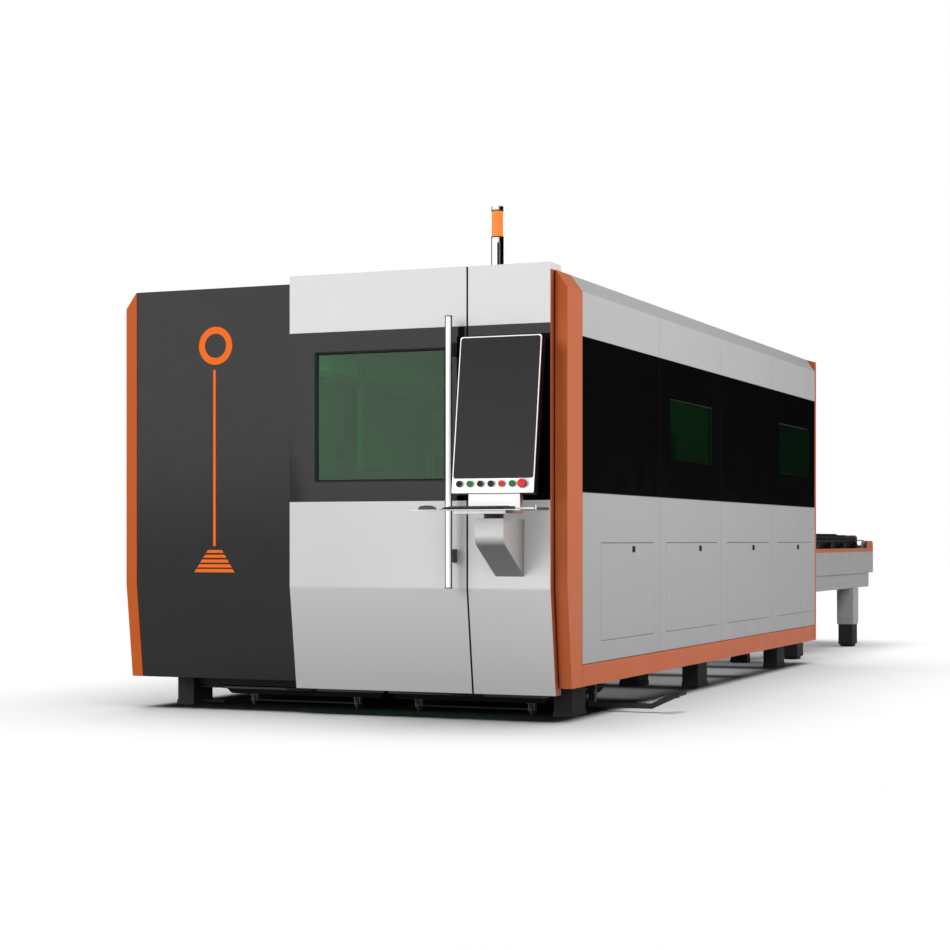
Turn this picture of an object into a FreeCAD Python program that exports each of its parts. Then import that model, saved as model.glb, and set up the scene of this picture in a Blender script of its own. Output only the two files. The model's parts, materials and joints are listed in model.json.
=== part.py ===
import FreeCAD, Part
import os
import math
from FreeCAD import Vector as V

os.makedirs("parts", exist_ok=True)

# ---------------------------------------------------------------------------
# Enclosed sheet-cutting machine with a two-level exchange table.
# Millimetres.  X to the right of the operator, Y from the front to the rear,
# Z up, floor at Z = 0.  Lengths along Y are first laid out from the front
# uprights' face (Y = 0), widths from the middle of the body (X = 0). Both are
# shifted when a piece is written, so the origin is the middle of the whole
# footprint on the floor.
# ---------------------------------------------------------------------------

# overall
CENTRE_X = 162.0           # half way between the left side and the arm's end
CENTRE_Y = 3991.5          # half way between tray front edge and table end
HALF_W = 1260.0            # outer face of the side cladding
TOP = 2228.0               # roof and uprights
KINK = 664.0               # where the front starts to slope inwards
RAIL_Z0 = 169.0            # underside of the bottom rails
RAIL_Z1 = 280.0            # top of the bottom rails
SLOPE_IN = 62.0            # inward run of the slope at RAIL_Z0
CHAMFER_Z = 2143.0         # chamfer under the roof edge
CHAMFER_X = 1198.0
SHEET = 3.0                # sheet metal
PAN = 30.0                 # depth of the folded panels
SEAM = 3.0                 # gap between neighbouring panels

# side modules
MODULES = [220.0, 1503.0, 2767.0, 4037.0, 5302.0]
BAND_Z0, BAND_Z1 = 1141.0, 1920.0
WINDOWS = [(1707.0, 2558.0), (4244.0, 5100.0)]
WIN_Z0, WIN_Z1 = 1358.0, 1703.0
SDOORS = [(503.0, 1399.0, 1033.0), (1629.0, 2674.0, 2306.0),
          (2904.0, 3950.0, 3539.0), (4200.0, 5216.0, 4773.0)]
SDOOR_Z0, SDOOR_Z1 = 387.0, 886.0
PULL_Z = 854.0
PULL = 28.0
REAR_Y = 5390.0

# front
COVER_X = (-1192.0, -207.0)
DOOR_X = (-247.0, 743.0)
PANEL_X = (751.0, 1188.0)
HOOD_Y = -45.0
HOOD_BACK = 107.0
HOOD_TOP = 2262.0
HOOD_Z0 = 134.0
HOOD_Y0 = 30.0
DOOR_DEEP = 30.0
WIN_X = (-104.0, 626.0)
WIN_Z = (1198.0, 1864.0)
WIN_DEEP = 18.0            # depth of the recess in front of the pane
WIN_IN = 9.0               # how far its walls lean in
HANDLE = (681.0, -126.0, 663.0, 2011.0, 18.0)
DOOR_TRAVEL = 930.0

# console
PIVOT = (975.0, -257.0)
CONSOLE_X = 973.0
CONSOLE_W = 427.0
CONSOLE_H = 776.6
CONSOLE_D = 55.0
LEAN = math.degrees(math.atan2(115.0, 768.0))
CONSOLE_ORG = V(CONSOLE_X, -273.0, 1130.0)
BTN_W = 43.0               # height of the button row above the lower edge
BTN = [("button_black_left", -171.0), ("button_green_left", -116.0),
       ("button_black_centre", -61.0), ("button_black_right", -6.0),
       ("button_red", 49.0), ("button_green_right", 104.0),
       ("emergency_stop", 157.0)]

# bed and levels
LEG_X = (1041.0, 1141.0)
LEG_Y = 205.0
LEG_ROWS = {1: [396.0, 2667.0, 4655.0], -1: [335.0, 2667.0, 4655.0]}
INNER_LEG_X = (672.0, 792.0)
INNER_ROWS = [2560.0, 5135.0]
FOOT_T = 25.0
BED_TOP = 1000.0
UP_LEVEL = 960.0           # slat tips, upper pallet
LEVEL_DROP = 235.0         # lower pallet below the upper one
PALLET_Y0 = 5410.0
PALLET_L = 2990.0
PALLET_TRAVEL = 3880.0
SLAT_PITCH = 72.0
TABLE_END = 8505.0
TABLE_X = 1044.0

# gantry (rest place)
GANTRY_Y = 2142.0
BEAM_TOP = 1331.0
CARR_X = -250.0

# carts
CARTS = {"left": (-876.0, 98.0), "right": (122.0, 1026.0)}
CART_WHEELS = {"left": (-707.0, -85.0), "right": (273.0, 911.0)}
CART_Y = (365.0, 1300.0)
WHEEL_R = 30.0


# ---------------------------------------------------------------- helpers
def fix(s):
    if s.Volume < 0:
        s.reverse()
    return s


def box(x0, x1, y0, y1, z0, z1):
    if x0 > x1:
        x0, x1 = x1, x0
    if y0 > y1:
        y0, y1 = y1, y0
    return Part.makeBox(x1 - x0, y1 - y0, z1 - z0, V(x0, y0, z0))


def poly(points, vec):
    w = Part.makePolygon([V(*p) for p in points] + [V(*points[0])])
    return fix(Part.Face(w).extrude(V(*vec)))


def px(yz, x0, x1):
    return poly([(x0, y, z) for y, z in yz], (x1 - x0, 0, 0))


def py(xz, y0, y1):
    return poly([(x, y0, z) for x, z in xz], (0, y1 - y0, 0))


def pz(xy, z0, z1):
    return poly([(x, y, z0) for x, y in xy], (0, 0, z1 - z0))


def cyl(x, y, z, r, h, d=(0, 0, 1)):
    return Part.makeCylinder(r, h, V(x, y, z), V(*d))


def fuse(shapes):
    s = shapes[0]
    if len(shapes) > 1:
        s = s.multiFuse(shapes[1:])
    return s.removeSplitter()


def touches(a, b):
    e = 1e-4
    return (a.XMin < b.XMax - e and b.XMin < a.XMax - e and
            a.YMin < b.YMax - e and b.YMin < a.YMax - e and
            a.ZMin < b.ZMax - e and b.ZMin < a.ZMax - e)


def butt(members):
    """cut every member back where it meets the ones placed before it, so a
    welded frame is made of straight bars that meet face to face"""
    done = []
    for m in members:
        for d in done:
            if touches(m.BoundBox, d.BoundBox):
                m = m.cut(d)
        done += m.Solids
    return done


def tube_y(x0, x1, y0, y1, z0, z1, t):
    return box(x0, x1, y0, y1, z0, z1).cut(
        box(x0 + t, x1 - t, y0 - 1, y1 + 1, z0 + t, z1 - t))


def save(name, shapes):
    if not isinstance(shapes, (list, tuple)):
        shapes = [shapes]
    solids = []
    for s in shapes:
        for q in s.Solids:
            solids.append(q)
    for q in solids:
        if not q.isValid() or q.Volume <= 0:
            print("BAD SOLID in", name, q.isValid(), q.Volume)
    out = solids[0].copy() if len(solids) == 1 else Part.makeCompound(solids)
    out.translate(V(-CENTRE_X, -CENTRE_Y, 0))
    out.exportStep("parts/" + name + ".step")


def sx(s, a, b):
    """interval a..b of |X| on side s"""
    return (s * a, s * b) if s > 0 else (s * b, s * a)


# ------------------------------------------------------------- side cladding
MODS = [(MODULES[i] + SEAM / 2, MODULES[i + 1] - SEAM / 2) for i in range(4)]


def upper_panel(s, y0, y1):
    a = SHEET
    out = [(HALF_W, BAND_Z1 + 1.5), (HALF_W, CHAMFER_Z), (CHAMFER_X, TOP),
           (CHAMFER_X - 30, TOP), (CHAMFER_X - 30, TOP - a),
           (CHAMFER_X - 1.6, TOP - a), (HALF_W - a, CHAMFER_Z - 1.1),
           (HALF_W - a, BAND_Z1 + 1.5 + a), (HALF_W - PAN, BAND_Z1 + 1.5 + a),
           (HALF_W - PAN, BAND_Z1 + 1.5)]
    body = py([(s * x, z) for x, z in out], y0, y1)
    # folded end returns of the vertical part
    e = []
    for ya in (y0, y1 - a):
        x0, x1 = sx(s, HALF_W - 22, HALF_W - 1)
        e.append(box(x0, x1, ya, ya + a, BAND_Z1 + 2, CHAMFER_Z - 12))
    return fuse([body] + e)


def pan(s, y0, y1, z0, z1, t=SHEET, holes=()):
    x0, x1 = sx(s, HALF_W - PAN, HALF_W)
    i0, i1 = sx(s, HALF_W - PAN - 1, HALF_W - t)
    b = box(x0, x1, y0, y1, z0, z1).cut(box(i0, i1, y0 + t, y1 - t, z0 + t, z1 - t))
    for (a, c, d, e) in holes:
        h0, h1 = sx(s, HALF_W - PAN - 2, HALF_W + 2)
        b = b.cut(box(h0, h1, a, c, d, e))
    return b


def side_cladding():
    up, band, low, wins = [], [], [], []
    for s in (1, -1):
        for i, (y0, y1) in enumerate(MODS):
            up.append(upper_panel(s, y0, y1))
            holes = []
            if s > 0 and i in (1, 3):
                w = WINDOWS[0] if i == 1 else WINDOWS[1]
                holes = [(w[0], w[1], WIN_Z0, WIN_Z1)]
            band.append(pan(s, y0, y1, BAND_Z0 + 1, BAND_Z1 - 1.5, SHEET, holes))
            holes = []
            if s > 0:
                d = SDOORS[i]
                holes = [(d[0] - 2.5, d[1] + 2.5, SDOOR_Z0 - 2, SDOOR_Z1 + 3)]
            low.append(pan(s, y0, y1, RAIL_Z1 + 1.5, BAND_Z0 - 1, SHEET, holes))
    for (a, c) in WINDOWS:
        wins.append(box(HALF_W - 9, HALF_W - SHEET, a - 25, c + 25,
                        WIN_Z0 - 25, WIN_Z1 + 25))
    save("upper_side_panels", up)
    save("band_panels", band)
    save("lower_side_panels", low)
    save("side_windows", wins)


# --------------------------------------------------------- coloured skeleton
def front_upright(s):
    t = SHEET
    prof = [(0, KINK), (0, TOP), (MODULES[0] - 1.5, TOP),
            (MODULES[0] - 1.5, RAIL_Z0), (SLOPE_IN, RAIL_Z0)]
    inn = [(t, KINK + 1), (t, TOP - t), (MODULES[0] + 5, TOP - t),
           (MODULES[0] + 5, RAIL_Z0 + t), (SLOPE_IN + t, RAIL_Z0 + t)]
    x0, x1 = sx(s, 1195, HALF_W)
    i0, i1 = sx(s, 1195 + t, HALF_W - t)
    b = px(prof, x0, x1)
    # chamfer along the roof edge
    cut = py([(s * (HALF_W + 5), CHAMFER_Z), (s * HALF_W, CHAMFER_Z),
              (s * CHAMFER_X, TOP), (s * CHAMFER_X, TOP + 5),
              (s * (HALF_W + 5), TOP + 5)], -5, 300)
    cin = py([(s * (HALF_W + 5), CHAMFER_Z - 1.2), (s * (HALF_W - t), CHAMFER_Z - 1.2),
              (s * (CHAMFER_X - 1.4), TOP - t), (s * (CHAMFER_X - 1.4), TOP + 5),
              (s * (HALF_W + 5), TOP + 5)], -5, 300)
    inner = px(inn, i0, i1).cut(cin)
    jamb = box(*sx(s, 1180, 1226.5), 106, 300, 100, 2183)
    return b.cut(cut).cut(inner).cut(jamb)


def bottom_rail(s):
    t = SHEET
    y0, y1 = MODULES[0] + 1.5, MODULES[4] - 1.5
    x0, x1 = sx(s, HALF_W - PAN, HALF_W)
    i0, i1 = sx(s, HALF_W - PAN - 1, HALF_W - t)
    return box(x0, x1, y0, y1, RAIL_Z0, RAIL_Z1 - 1.5).cut(
        box(i0, i1, y0 - 1, y1 + 1, RAIL_Z0 + t, RAIL_Z1 - 1.5 - t))


def rear_upright(s):
    t = SHEET
    y0 = MODULES[4] + 1.5
    out = [(s * 1198, y0), (s * HALF_W, y0), (s * HALF_W, 5348), (s * 1226, REAR_Y),
           (s * 1198, REAR_Y)]
    inn = [(s * 1190, y0 - 5), (s * (HALF_W - t), y0 - 5), (s * (HALF_W - t), 5346.8),
           (s * 1224.7, REAR_Y - t), (s * 1190, REAR_Y - t)]
    # the top slopes down a little to the outer corner
    fall = 18.0
    cut = py([(s * CHAMFER_X, TOP), (s * CHAMFER_X, TOP + 5), (s * (HALF_W + 5), TOP + 5),
              (s * (HALF_W + 5), TOP - fall * (HALF_W + 5 - CHAMFER_X) / (HALF_W - CHAMFER_X))],
             5200, 5500)
    hollow = pz(inn, RAIL_Z0 + t, TOP - t - fall)
    b = pz(out, RAIL_Z0, TOP).cut(hollow).cut(cut)
    # front wall above the chamfer of the side panels
    xz = [(s * HALF_W, CHAMFER_Z), (s * HALF_W, TOP - fall), (s * CHAMFER_X, TOP)]
    lid = py(xz, y0, y0 + t)
    # small bevel on the lower rear corner
    low = px([(5352, RAIL_Z0 - 1), (REAR_Y + 1, RAIL_Z0 - 1), (REAR_Y + 1, RAIL_Z0 + 30)],
             *sx(s, 1180, 1270))
    return fuse([b, lid]).cut(low)


def skeleton():
    save("front_uprights", [front_upright(s) for s in (1, -1)])
    save("bottom_rails", [bottom_rail(s) for s in (1, -1)])
    save("rear_uprights", [rear_upright(s) for s in (1, -1)])
    # hidden frame of 40 mm tube carrying the cladding
    posts = [112.0, 1483.0, 2747.0, 4017.0, 5306.0]
    f = []
    for s in (1, -1):
        for y in posts:
            f.append(box(*sx(s, 1186, 1226), y, y + 40, 205, 2180))
        for z in (210, 1121, 1940):
            f.append(box(*sx(s, 1186, 1226), 112, 5346, z, z + 40))
        f.append(box(*sx(s, 1150, 1200), 112, 5346, 2140, 2180))
        for y in (470.0, 2750.0, 4737.0):
            f.append(box(*sx(s, 1141, 1186), y, y + 60, 208, 252))
    for y in posts:
        f.append(box(-1186, 1186, y, y + 40, 2180, 2220))
    # front portal round the door
    f.append(box(-250, -210, 112, 152, 250, 2180))
    f.append(box(757, 797, 112, 152, 250, 2180))
    f.append(box(-1186, 1186, 112, 152, 210, 250))
    f.append(box(-1186, 1186, 112, 152, 2100, 2140))
    # stand-offs behind the fixed front cover
    for z in (1500,):
        f.append(box(-1186, -250, 112, 152, z, z + 40))
    for x in (-1100, -700, -300):
        f.append(box(x, x + 40, 3, 112, 1500, 1530))
        f.append(box(x, x + 40, 90, 112, 225, 245))
    save("enclosure_frame", butt(f))


# -------------------------------------------------------------------- front
def slope_y(z, y_top=0.0):
    """front face of the lower slope of the fixed cover"""
    return y_top + SLOPE_IN * (KINK - z) / (KINK - RAIL_Z0)


def left_cover():
    t = SHEET
    x0, x1 = COVER_X
    out = px([(0, TOP), (30, TOP), (30, KINK), (SLOPE_IN + 30, RAIL_Z0),
              (SLOPE_IN, RAIL_Z0), (0, KINK)], x0, x1)
    inn = px([(t, TOP - t), (45, TOP - t), (45, KINK), (SLOPE_IN + 44, RAIL_Z0 + t),
              (SLOPE_IN + t - 0.4, RAIL_Z0 + t), (t, KINK)], x0 + t, x1 - t)
    body = out.cut(inn)
    # deep left return, out of the door's way
    ret = box(x0, x0 + t, 20, 105, 700, TOP - 60)
    save("left_front_cover", fuse([body, ret]))


def hood_profile(depth):
    return [(HOOD_Y, HOOD_TOP), (HOOD_Y + depth, HOOD_TOP), (HOOD_Y + depth, KINK),
            (HOOD_Y0 + depth, HOOD_Z0), (HOOD_Y0, HOOD_Z0), (HOOD_Y, KINK)]


def hood_inner(depth):
    t = SHEET
    return [(HOOD_Y + t, HOOD_TOP - t), (HOOD_Y + depth + 8, HOOD_TOP - t),
            (HOOD_Y + depth + 8, KINK), (HOOD_Y0 + depth + 8, HOOD_Z0 + t),
            (HOOD_Y0 + t - 0.4, HOOD_Z0 + t), (HOOD_Y + t, KINK)]


def hexa(a, b):
    """closed solid between two four-cornered loops"""
    a, b = [V(*p) for p in a], [V(*p) for p in b]
    loops = [a[::-1], b]
    for i in range(4):
        j = (i + 1) % 4
        loops.append([a[i], a[j], b[j], b[i]])
    faces = [Part.Face(Part.makePolygon(q + [q[0]])) for q in loops]
    return fix(Part.Solid(Part.Shell(faces)))


def frustum(x0, x1, z0, z1, ya, yb, inset):
    """opening that narrows from plane ya to plane yb by inset on every side"""
    def rect(y, k):
        return [(x0 + k, y, z0 + k), (x1 - k, y, z0 + k), (x1 - k, y, z1 - k),
                (x0 + k, y, z1 - k)]
    return hexa(rect(ya, 0), rect(yb, inset))


def front():
    t = SHEET
    left_cover()
    # fixed right panel with its deep hood
    x0, x1 = PANEL_X
    b = px([(HOOD_Y, HOOD_TOP), (HOOD_BACK, HOOD_TOP), (HOOD_BACK, HOOD_Z0),
            (HOOD_Y0, HOOD_Z0), (HOOD_Y, KINK)], x0, x1)
    i = px([(HOOD_Y + t, HOOD_TOP - t), (HOOD_BACK + 5, HOOD_TOP - t),
            (HOOD_BACK + 5, HOOD_Z0 + t), (HOOD_Y0 + t - 0.4, HOOD_Z0 + t),
            (HOOD_Y + t, KINK)], x0 + t, x1 - t)
    save("right_front_panel", b.cut(i))

    # sliding door
    x0, x1 = DOOR_X
    b = px(hood_profile(DOOR_DEEP), x0, x1).cut(px(hood_inner(DOOR_DEEP), x0 + t, x1 - t))
    hood = box(x0, x1, HOOD_Y + 5, HOOD_BACK, HOOD_TOP - t, HOOD_TOP)
    lip = box(x0, x1, HOOD_BACK - t, HOOD_BACK, 2190, HOOD_TOP - 1)
    end = box(x1 - t, x1, HOOD_Y + 5, HOOD_BACK, 2232, HOOD_TOP - 1)
    ring = box(WIN_X[0] - 16, WIN_X[1] + 16, HOOD_Y + 1, HOOD_Y + WIN_DEEP + 4,
               WIN_Z[0] - 16, WIN_Z[1] + 16)
    b = fuse([b, hood, lip, end, ring])
    b = b.cut(frustum(WIN_X[0], WIN_X[1], WIN_Z[0], WIN_Z[1],
                      HOOD_Y, HOOD_Y + WIN_DEEP, WIN_IN))
    b = b.cut(box(WIN_X[0] + WIN_IN, WIN_X[1] - WIN_IN, HOOD_Y - 2, HOOD_Y + 40,
                  WIN_Z[0] + WIN_IN, WIN_Z[1] - WIN_IN))
    shoes = [box(x, x + 70, 80, HOOD_BACK - t, 2190, 2214) for x in (-190, 610)]
    save("door_panel", [b] + shoes)
    save("door_window", box(WIN_X[0] - 6, WIN_X[1] + 6, HOOD_Y + WIN_DEEP + 4,
                            HOOD_Y + WIN_DEEP + 10, WIN_Z[0] - 6, WIN_Z[1] + 6))
    hx, hy, z0, z1, r = HANDLE
    parts = [cyl(hx, hy, z0 + 14, r, z1 - z0 - 28),
             cyl(hx, hy, z0, r + 2, 14), cyl(hx, hy, z1 - 14, r + 2, 14)]
    for z in (824, 1849):
        st = box(hx - 12, hx + 12, hy, HOOD_Y, z - 33.5, z + 33.5)
        parts.append(st.cut(cyl(hx, hy, z - 60, r, 120)))
    save("door_handle", parts)
    # top rail on brackets and the lower guide
    tr = [box(-1180, 745, 76, 100, 2158, 2189.7)]
    for x in (-1150, -800, -450, -100, 250, 600):
        tr.append(box(x, x + 40, 99, 112, 2160, 2179))
    low = [box(-200, 745, 84, 96, 215, 240)]
    for x in (-190, 250, 690):
        low.append(box(x, x + 40, 95, 112, 218, 236))
    save("door_track", [fuse(tr), fuse(low)])


# ---------------------------------------------------------------- roof, rear
SHAFT_Y = 8446.0
SPROCKET = 42.0
DUCT = (-700.0, 4900.0, 125.0)


def roof_rear():
    t = SHEET
    panels = []
    ys = [(112.0, MODS[0][1])] + MODS[1:3] + [(MODS[3][0], 5354.0)]
    for i, (y0, y1) in enumerate(ys):
        b = box(-1166, 1166, y0, y1, TOP - 6, TOP).cut(
            box(-1163, 1163, y0 + t, y1 - t, TOP - 7, TOP - t))
        if i == 3:
            b = b.cut(cyl(DUCT[0], DUCT[1], TOP - 20, DUCT[2] + 6, 40))
        panels.append(b)
    save("roof_panels", panels)
    col = [cyl(DUCT[0], DUCT[1], TOP, DUCT[2] + 3, 90),
           box(DUCT[0] - 175, DUCT[0] + 175, DUCT[1] - 175, DUCT[1] + 175, TOP, TOP + 4)]
    save("exhaust_collar", fuse(col).cut(cyl(DUCT[0], DUCT[1], TOP - 5, DUCT[2], 120)))
    b = box(-1195, 1195, 5357, 5387, 283, TOP)
    b = b.cut(box(-1192, 1192, 5350, 5384, 286, TOP - t))
    b = b.cut(box(-1012, 1012, 5340, 5400, 488, 1105))
    # folded lip round the pass-through
    lip = box(-1018, 1018, 5357, 5386, 482, 1111).cut(
        box(-1012, 1012, 5340, 5400, 488, 1105))
    save("rear_panel", fuse([b, lip]))
    # signal tower
    x, y = 745.0, 360.0
    base = fuse([cyl(x, y, TOP, 32.5, 235), cyl(x, y, TOP, 45, 6)])
    slot = box(x - 7, x + 7, y - 40, y - 29.5, TOP + 70, TOP + 205)
    slot.rotate(V(x, y, 0), V(0, 0, 1), 32)
    base = base.cut(slot)
    save("tower_base", [base, cyl(x, y, TOP + 370, 31, 22)])
    save("tower_lens", cyl(x, y, TOP + 235, 29, 135))


# ------------------------------------------------------------------ console
def lean(shape):
    s = shape.copy()
    s.rotate(V(0, 0, 0), V(1, 0, 0), -LEAN)
    s.translate(CONSOLE_ORG)
    return s


def console():
    t = SHEET
    x0, x1 = 899.0, 1051.0
    out = px([(HOOD_Y, 1006), (-320, 1006), (-320, 891), (HOOD_Y, 722)], x0, x1)
    edges = [e for e in out.Edges if abs(e.CenterOfMass.y + 320) < 1 and
             abs(e.CenterOfMass.z - 891) < 1]
    out = out.makeFillet(70, edges)
    inn = px([(HOOD_Y + 5, 1003), (-317, 1003), (-317, 893), (HOOD_Y + 5, 725)],
             x0 + t, x1 - t)
    edges = [e for e in inn.Edges if abs(e.CenterOfMass.y + 317) < 1 and
             abs(e.CenterOfMass.z - 893) < 1]
    inn = inn.makeFillet(67, edges)
    b = out.cut(inn).cut(cyl(PIVOT[0], PIVOT[1], 990, 20.05, 40))
    save("console_bracket", b)

    pin = fuse([cyl(PIVOT[0], PIVOT[1], 1006.3, 47, 21.7),
                cyl(PIVOT[0], PIVOT[1], 975, 20, 40)])
    base = box(839, 1106, -431, -198, 1028, 1043)
    neck = box(840, 1109, -251, -209, 1043, 1130).cut(
        box(843, 1106, -248, -212, 1040, 1140))
    room = lean(box(-300, 300, 0, CONSOLE_D, 0, 200))
    save("console_neck", [pin, base, neck.cut(room), lean_bracket().cut(room)])
    tray = box(657, 1290, -522, -337, 1043, 1046)
    tray = fuse([tray, box(1287, 1290, -522, -504, 1043, 1066),
                 box(657, 1290, -340, -337, 1043, 1058)])
    save("console_tray", tray)

    w, h, d = CONSOLE_W, CONSOLE_H, CONSOLE_D
    b = box(-w / 2, w / 2, 0, d, 0, h)
    long = [e for e in b.Edges if abs(e.BoundBox.YLength - d) < 1e-6 and
            e.BoundBox.XLength < 1e-6 and e.BoundBox.ZLength < 1e-6]
    b = b.makeFillet(12, [e for e in long if e.CenterOfMass.z > h / 2])
    long = [e for e in b.Edges if abs(e.BoundBox.YLength - d) < 1e-6 and
            e.BoundBox.XLength < 1e-6 and e.BoundBox.ZLength < 1e-6 and
            e.CenterOfMass.z < 1]
    b = b.makeFillet(5, long)
    b = b.cut(box(-w / 2 + 3, w / 2 - 3, 8, d - 3, 3, h - 3))
    b = b.cut(box(-202, 202, -1, 5, 74, h - 11))
    for name, off in BTN:
        r, k = (17.0, 4.5) if name == "emergency_stop" else (14.5, 11.5)
        b = b.fuse(cyl(off, 0.5, BTN_W, r, k, (0, -1, 0)))
    for name, off in BTN:
        b = b.cut(cyl(off, 20, BTN_W, 10.8, 40, (0, -1, 0)))
        if name != "emergency_stop":
            b = b.cut(cyl(off, 0, BTN_W, 13.5, 20, (0, -1, 0)))
    save("console_housing", lean(b))
    save("console_screen", lean(fuse([box(-201.7, 201.7, -0.02, 5, 74.3, h - 11.3),
                                      box(-207.5, 207.5, -3.4, -0.02, 71, h - 6)])))
    for name, off in BTN:
        if name == "emergency_stop":
            c = fuse([cyl(off, 7, BTN_W, 10.5, 18, (0, -1, 0)),
                      cyl(off, -10, BTN_W, 21, 14, (0, -1, 0))])
            c = c.makeFillet(2, [e for e in c.Edges if abs(e.CenterOfMass.y + 24) < 1e-3
                                 and e.Length > 100])
        else:
            c = fuse([cyl(off, 7, BTN_W, 10.5, 14, (0, -1, 0)),
                      cyl(off, -5, BTN_W, 13.2, 10, (0, -1, 0))])
            c = c.makeFillet(1.2, [e for e in c.Edges if abs(e.CenterOfMass.y + 15) < 1e-3
                                   and e.Length > 50])
        save(name, lean(c))
    kb = px([(-500, 1046), (-366, 1046), (-366, 1067), (-500, 1056)], 808, 1129)
    save("keyboard", kb)
    m = box(662, 736, -486, -366, 1046, 1068)
    m = m.makeFillet(24, [e for e in m.Edges if e.BoundBox.ZLength > 8 and
                          e.BoundBox.XLength < 1e-6 and e.BoundBox.YLength < 1e-6])
    m = m.makeFillet(8, [e for e in m.Edges if abs(e.BoundBox.ZMin - 1068) < 1e-6])
    save("pointing_device", m)


def lean_bracket():
    """upright behind the housing, from the neck to its back wall"""
    a = math.radians(LEAN)
    # back wall of the housing passes (y, z) = (-273 + D cos, 1130 - D sin)
    by = -273 + CONSOLE_D * math.cos(a)
    bz = 1130 - CONSOLE_D * math.sin(a)

    def back(z):
        return by + (z - bz) * math.tan(a)
    pts = [(back(1131), 1131), (back(1340), 1340), (back(1340) + 14, 1340),
           (back(1131) + 14, 1131)]
    plate = px(pts, 900, 1050)
    foot = box(900, 1050, -209, back(1131) + 14, 1060, 1140)
    return fuse([plate, foot])


# ---------------------------------------------------------------------- bed
def bed():
    g = []
    for s in (1, -1):
        x0, x1 = sx(s, 1035, 1141)
        g.append(tube_y(x0, x1, LEG_ROWS[s][0], 5230, 252, BED_TOP, 12))
        for y in LEG_ROWS[s]:
            a, b = sx(s, *LEG_X)
            g.append(box(a, b, y, y + LEG_Y, FOOT_T, 262))
        for z in (535, 770):
            a, b = sx(s, 925, 1040)
            g.append(box(a, b, 1450, 5230, z, z + 17))
    # cross members
    for (y0, y1, z0) in ((396, 496, 110), (1440, 1540, 150), (2450, 2665, 205),
                         (3560, 3700, 150), (4560, 4680, 205), (5135, 5230, 205)):
        g.append(box(-1045, 1045, y0, y1, z0, 262))
    for s in (1, -1):
        for y in INNER_ROWS:
            a, b = sx(s, *INNER_LEG_X)
            g.append(box(a, b, y, y + (LEG_Y if y < 5000 else 95), FOOT_T, 215))
    g.append(box(-1045, -890, 396, 496, 92, 110))
    # tie bar near the floor on the left
    g.append(box(-918, -900, 420, 2600, 8, 24))
    g.append(box(-1038, -900, 420, 450, 8, 24))
    g.append(box(-918, -785, 2570, 2600, 26, 42))
    g.append(box(-918, -900, 2570, 2600, 8, 42))
    save("bed_frame", butt(g))

    feet = []
    for s in (1, -1):
        for y in LEG_ROWS[s]:
            a, b = sx(s, LEG_X[0] - 3, LEG_X[1] + 3)
            feet.append(box(a, b, y - 3, y + LEG_Y + 3, 0, FOOT_T))
        for y in INNER_ROWS:
            a, b = sx(s, INNER_LEG_X[0] - 3, INNER_LEG_X[1] + 3)
            feet.append(box(a, b, y - 3, y + (LEG_Y if y < 5000 else 95) + 3, 0, FOOT_T))
        for y in (5700, 7680.5):
            a, b = sx(s, 913, 1033)
            f = box(a, b, y + 10, y + 199, 18, 189)
            f = fuse([f, cyl(s * 973, y + 104.5, 0, 62, 18)])
            feet.append(f)
    save("leveling_feet", feet)

    rr = []
    for s in (1, -1):
        a, b = sx(s, 1078, 1098)
        rr.append(box(a, b, 420, 5220, BED_TOP, BED_TOP + 22))
        a, b = sx(s, 1112, 1132)
        rr.append(box(a, b, 420, 5220, BED_TOP, BED_TOP + 22))
    save("y_rails_and_racks", rr)
    pr = []
    for s in (1, -1):
        for z in (552, 787):
            a, b = sx(s, 930, 990)
            pr.append(box(a, b, 1450, 5229, z, z + 18))
            pr.append(box(a, b, 5232, 8395, z, z + 18))
    save("pallet_rails", pr)


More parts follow.
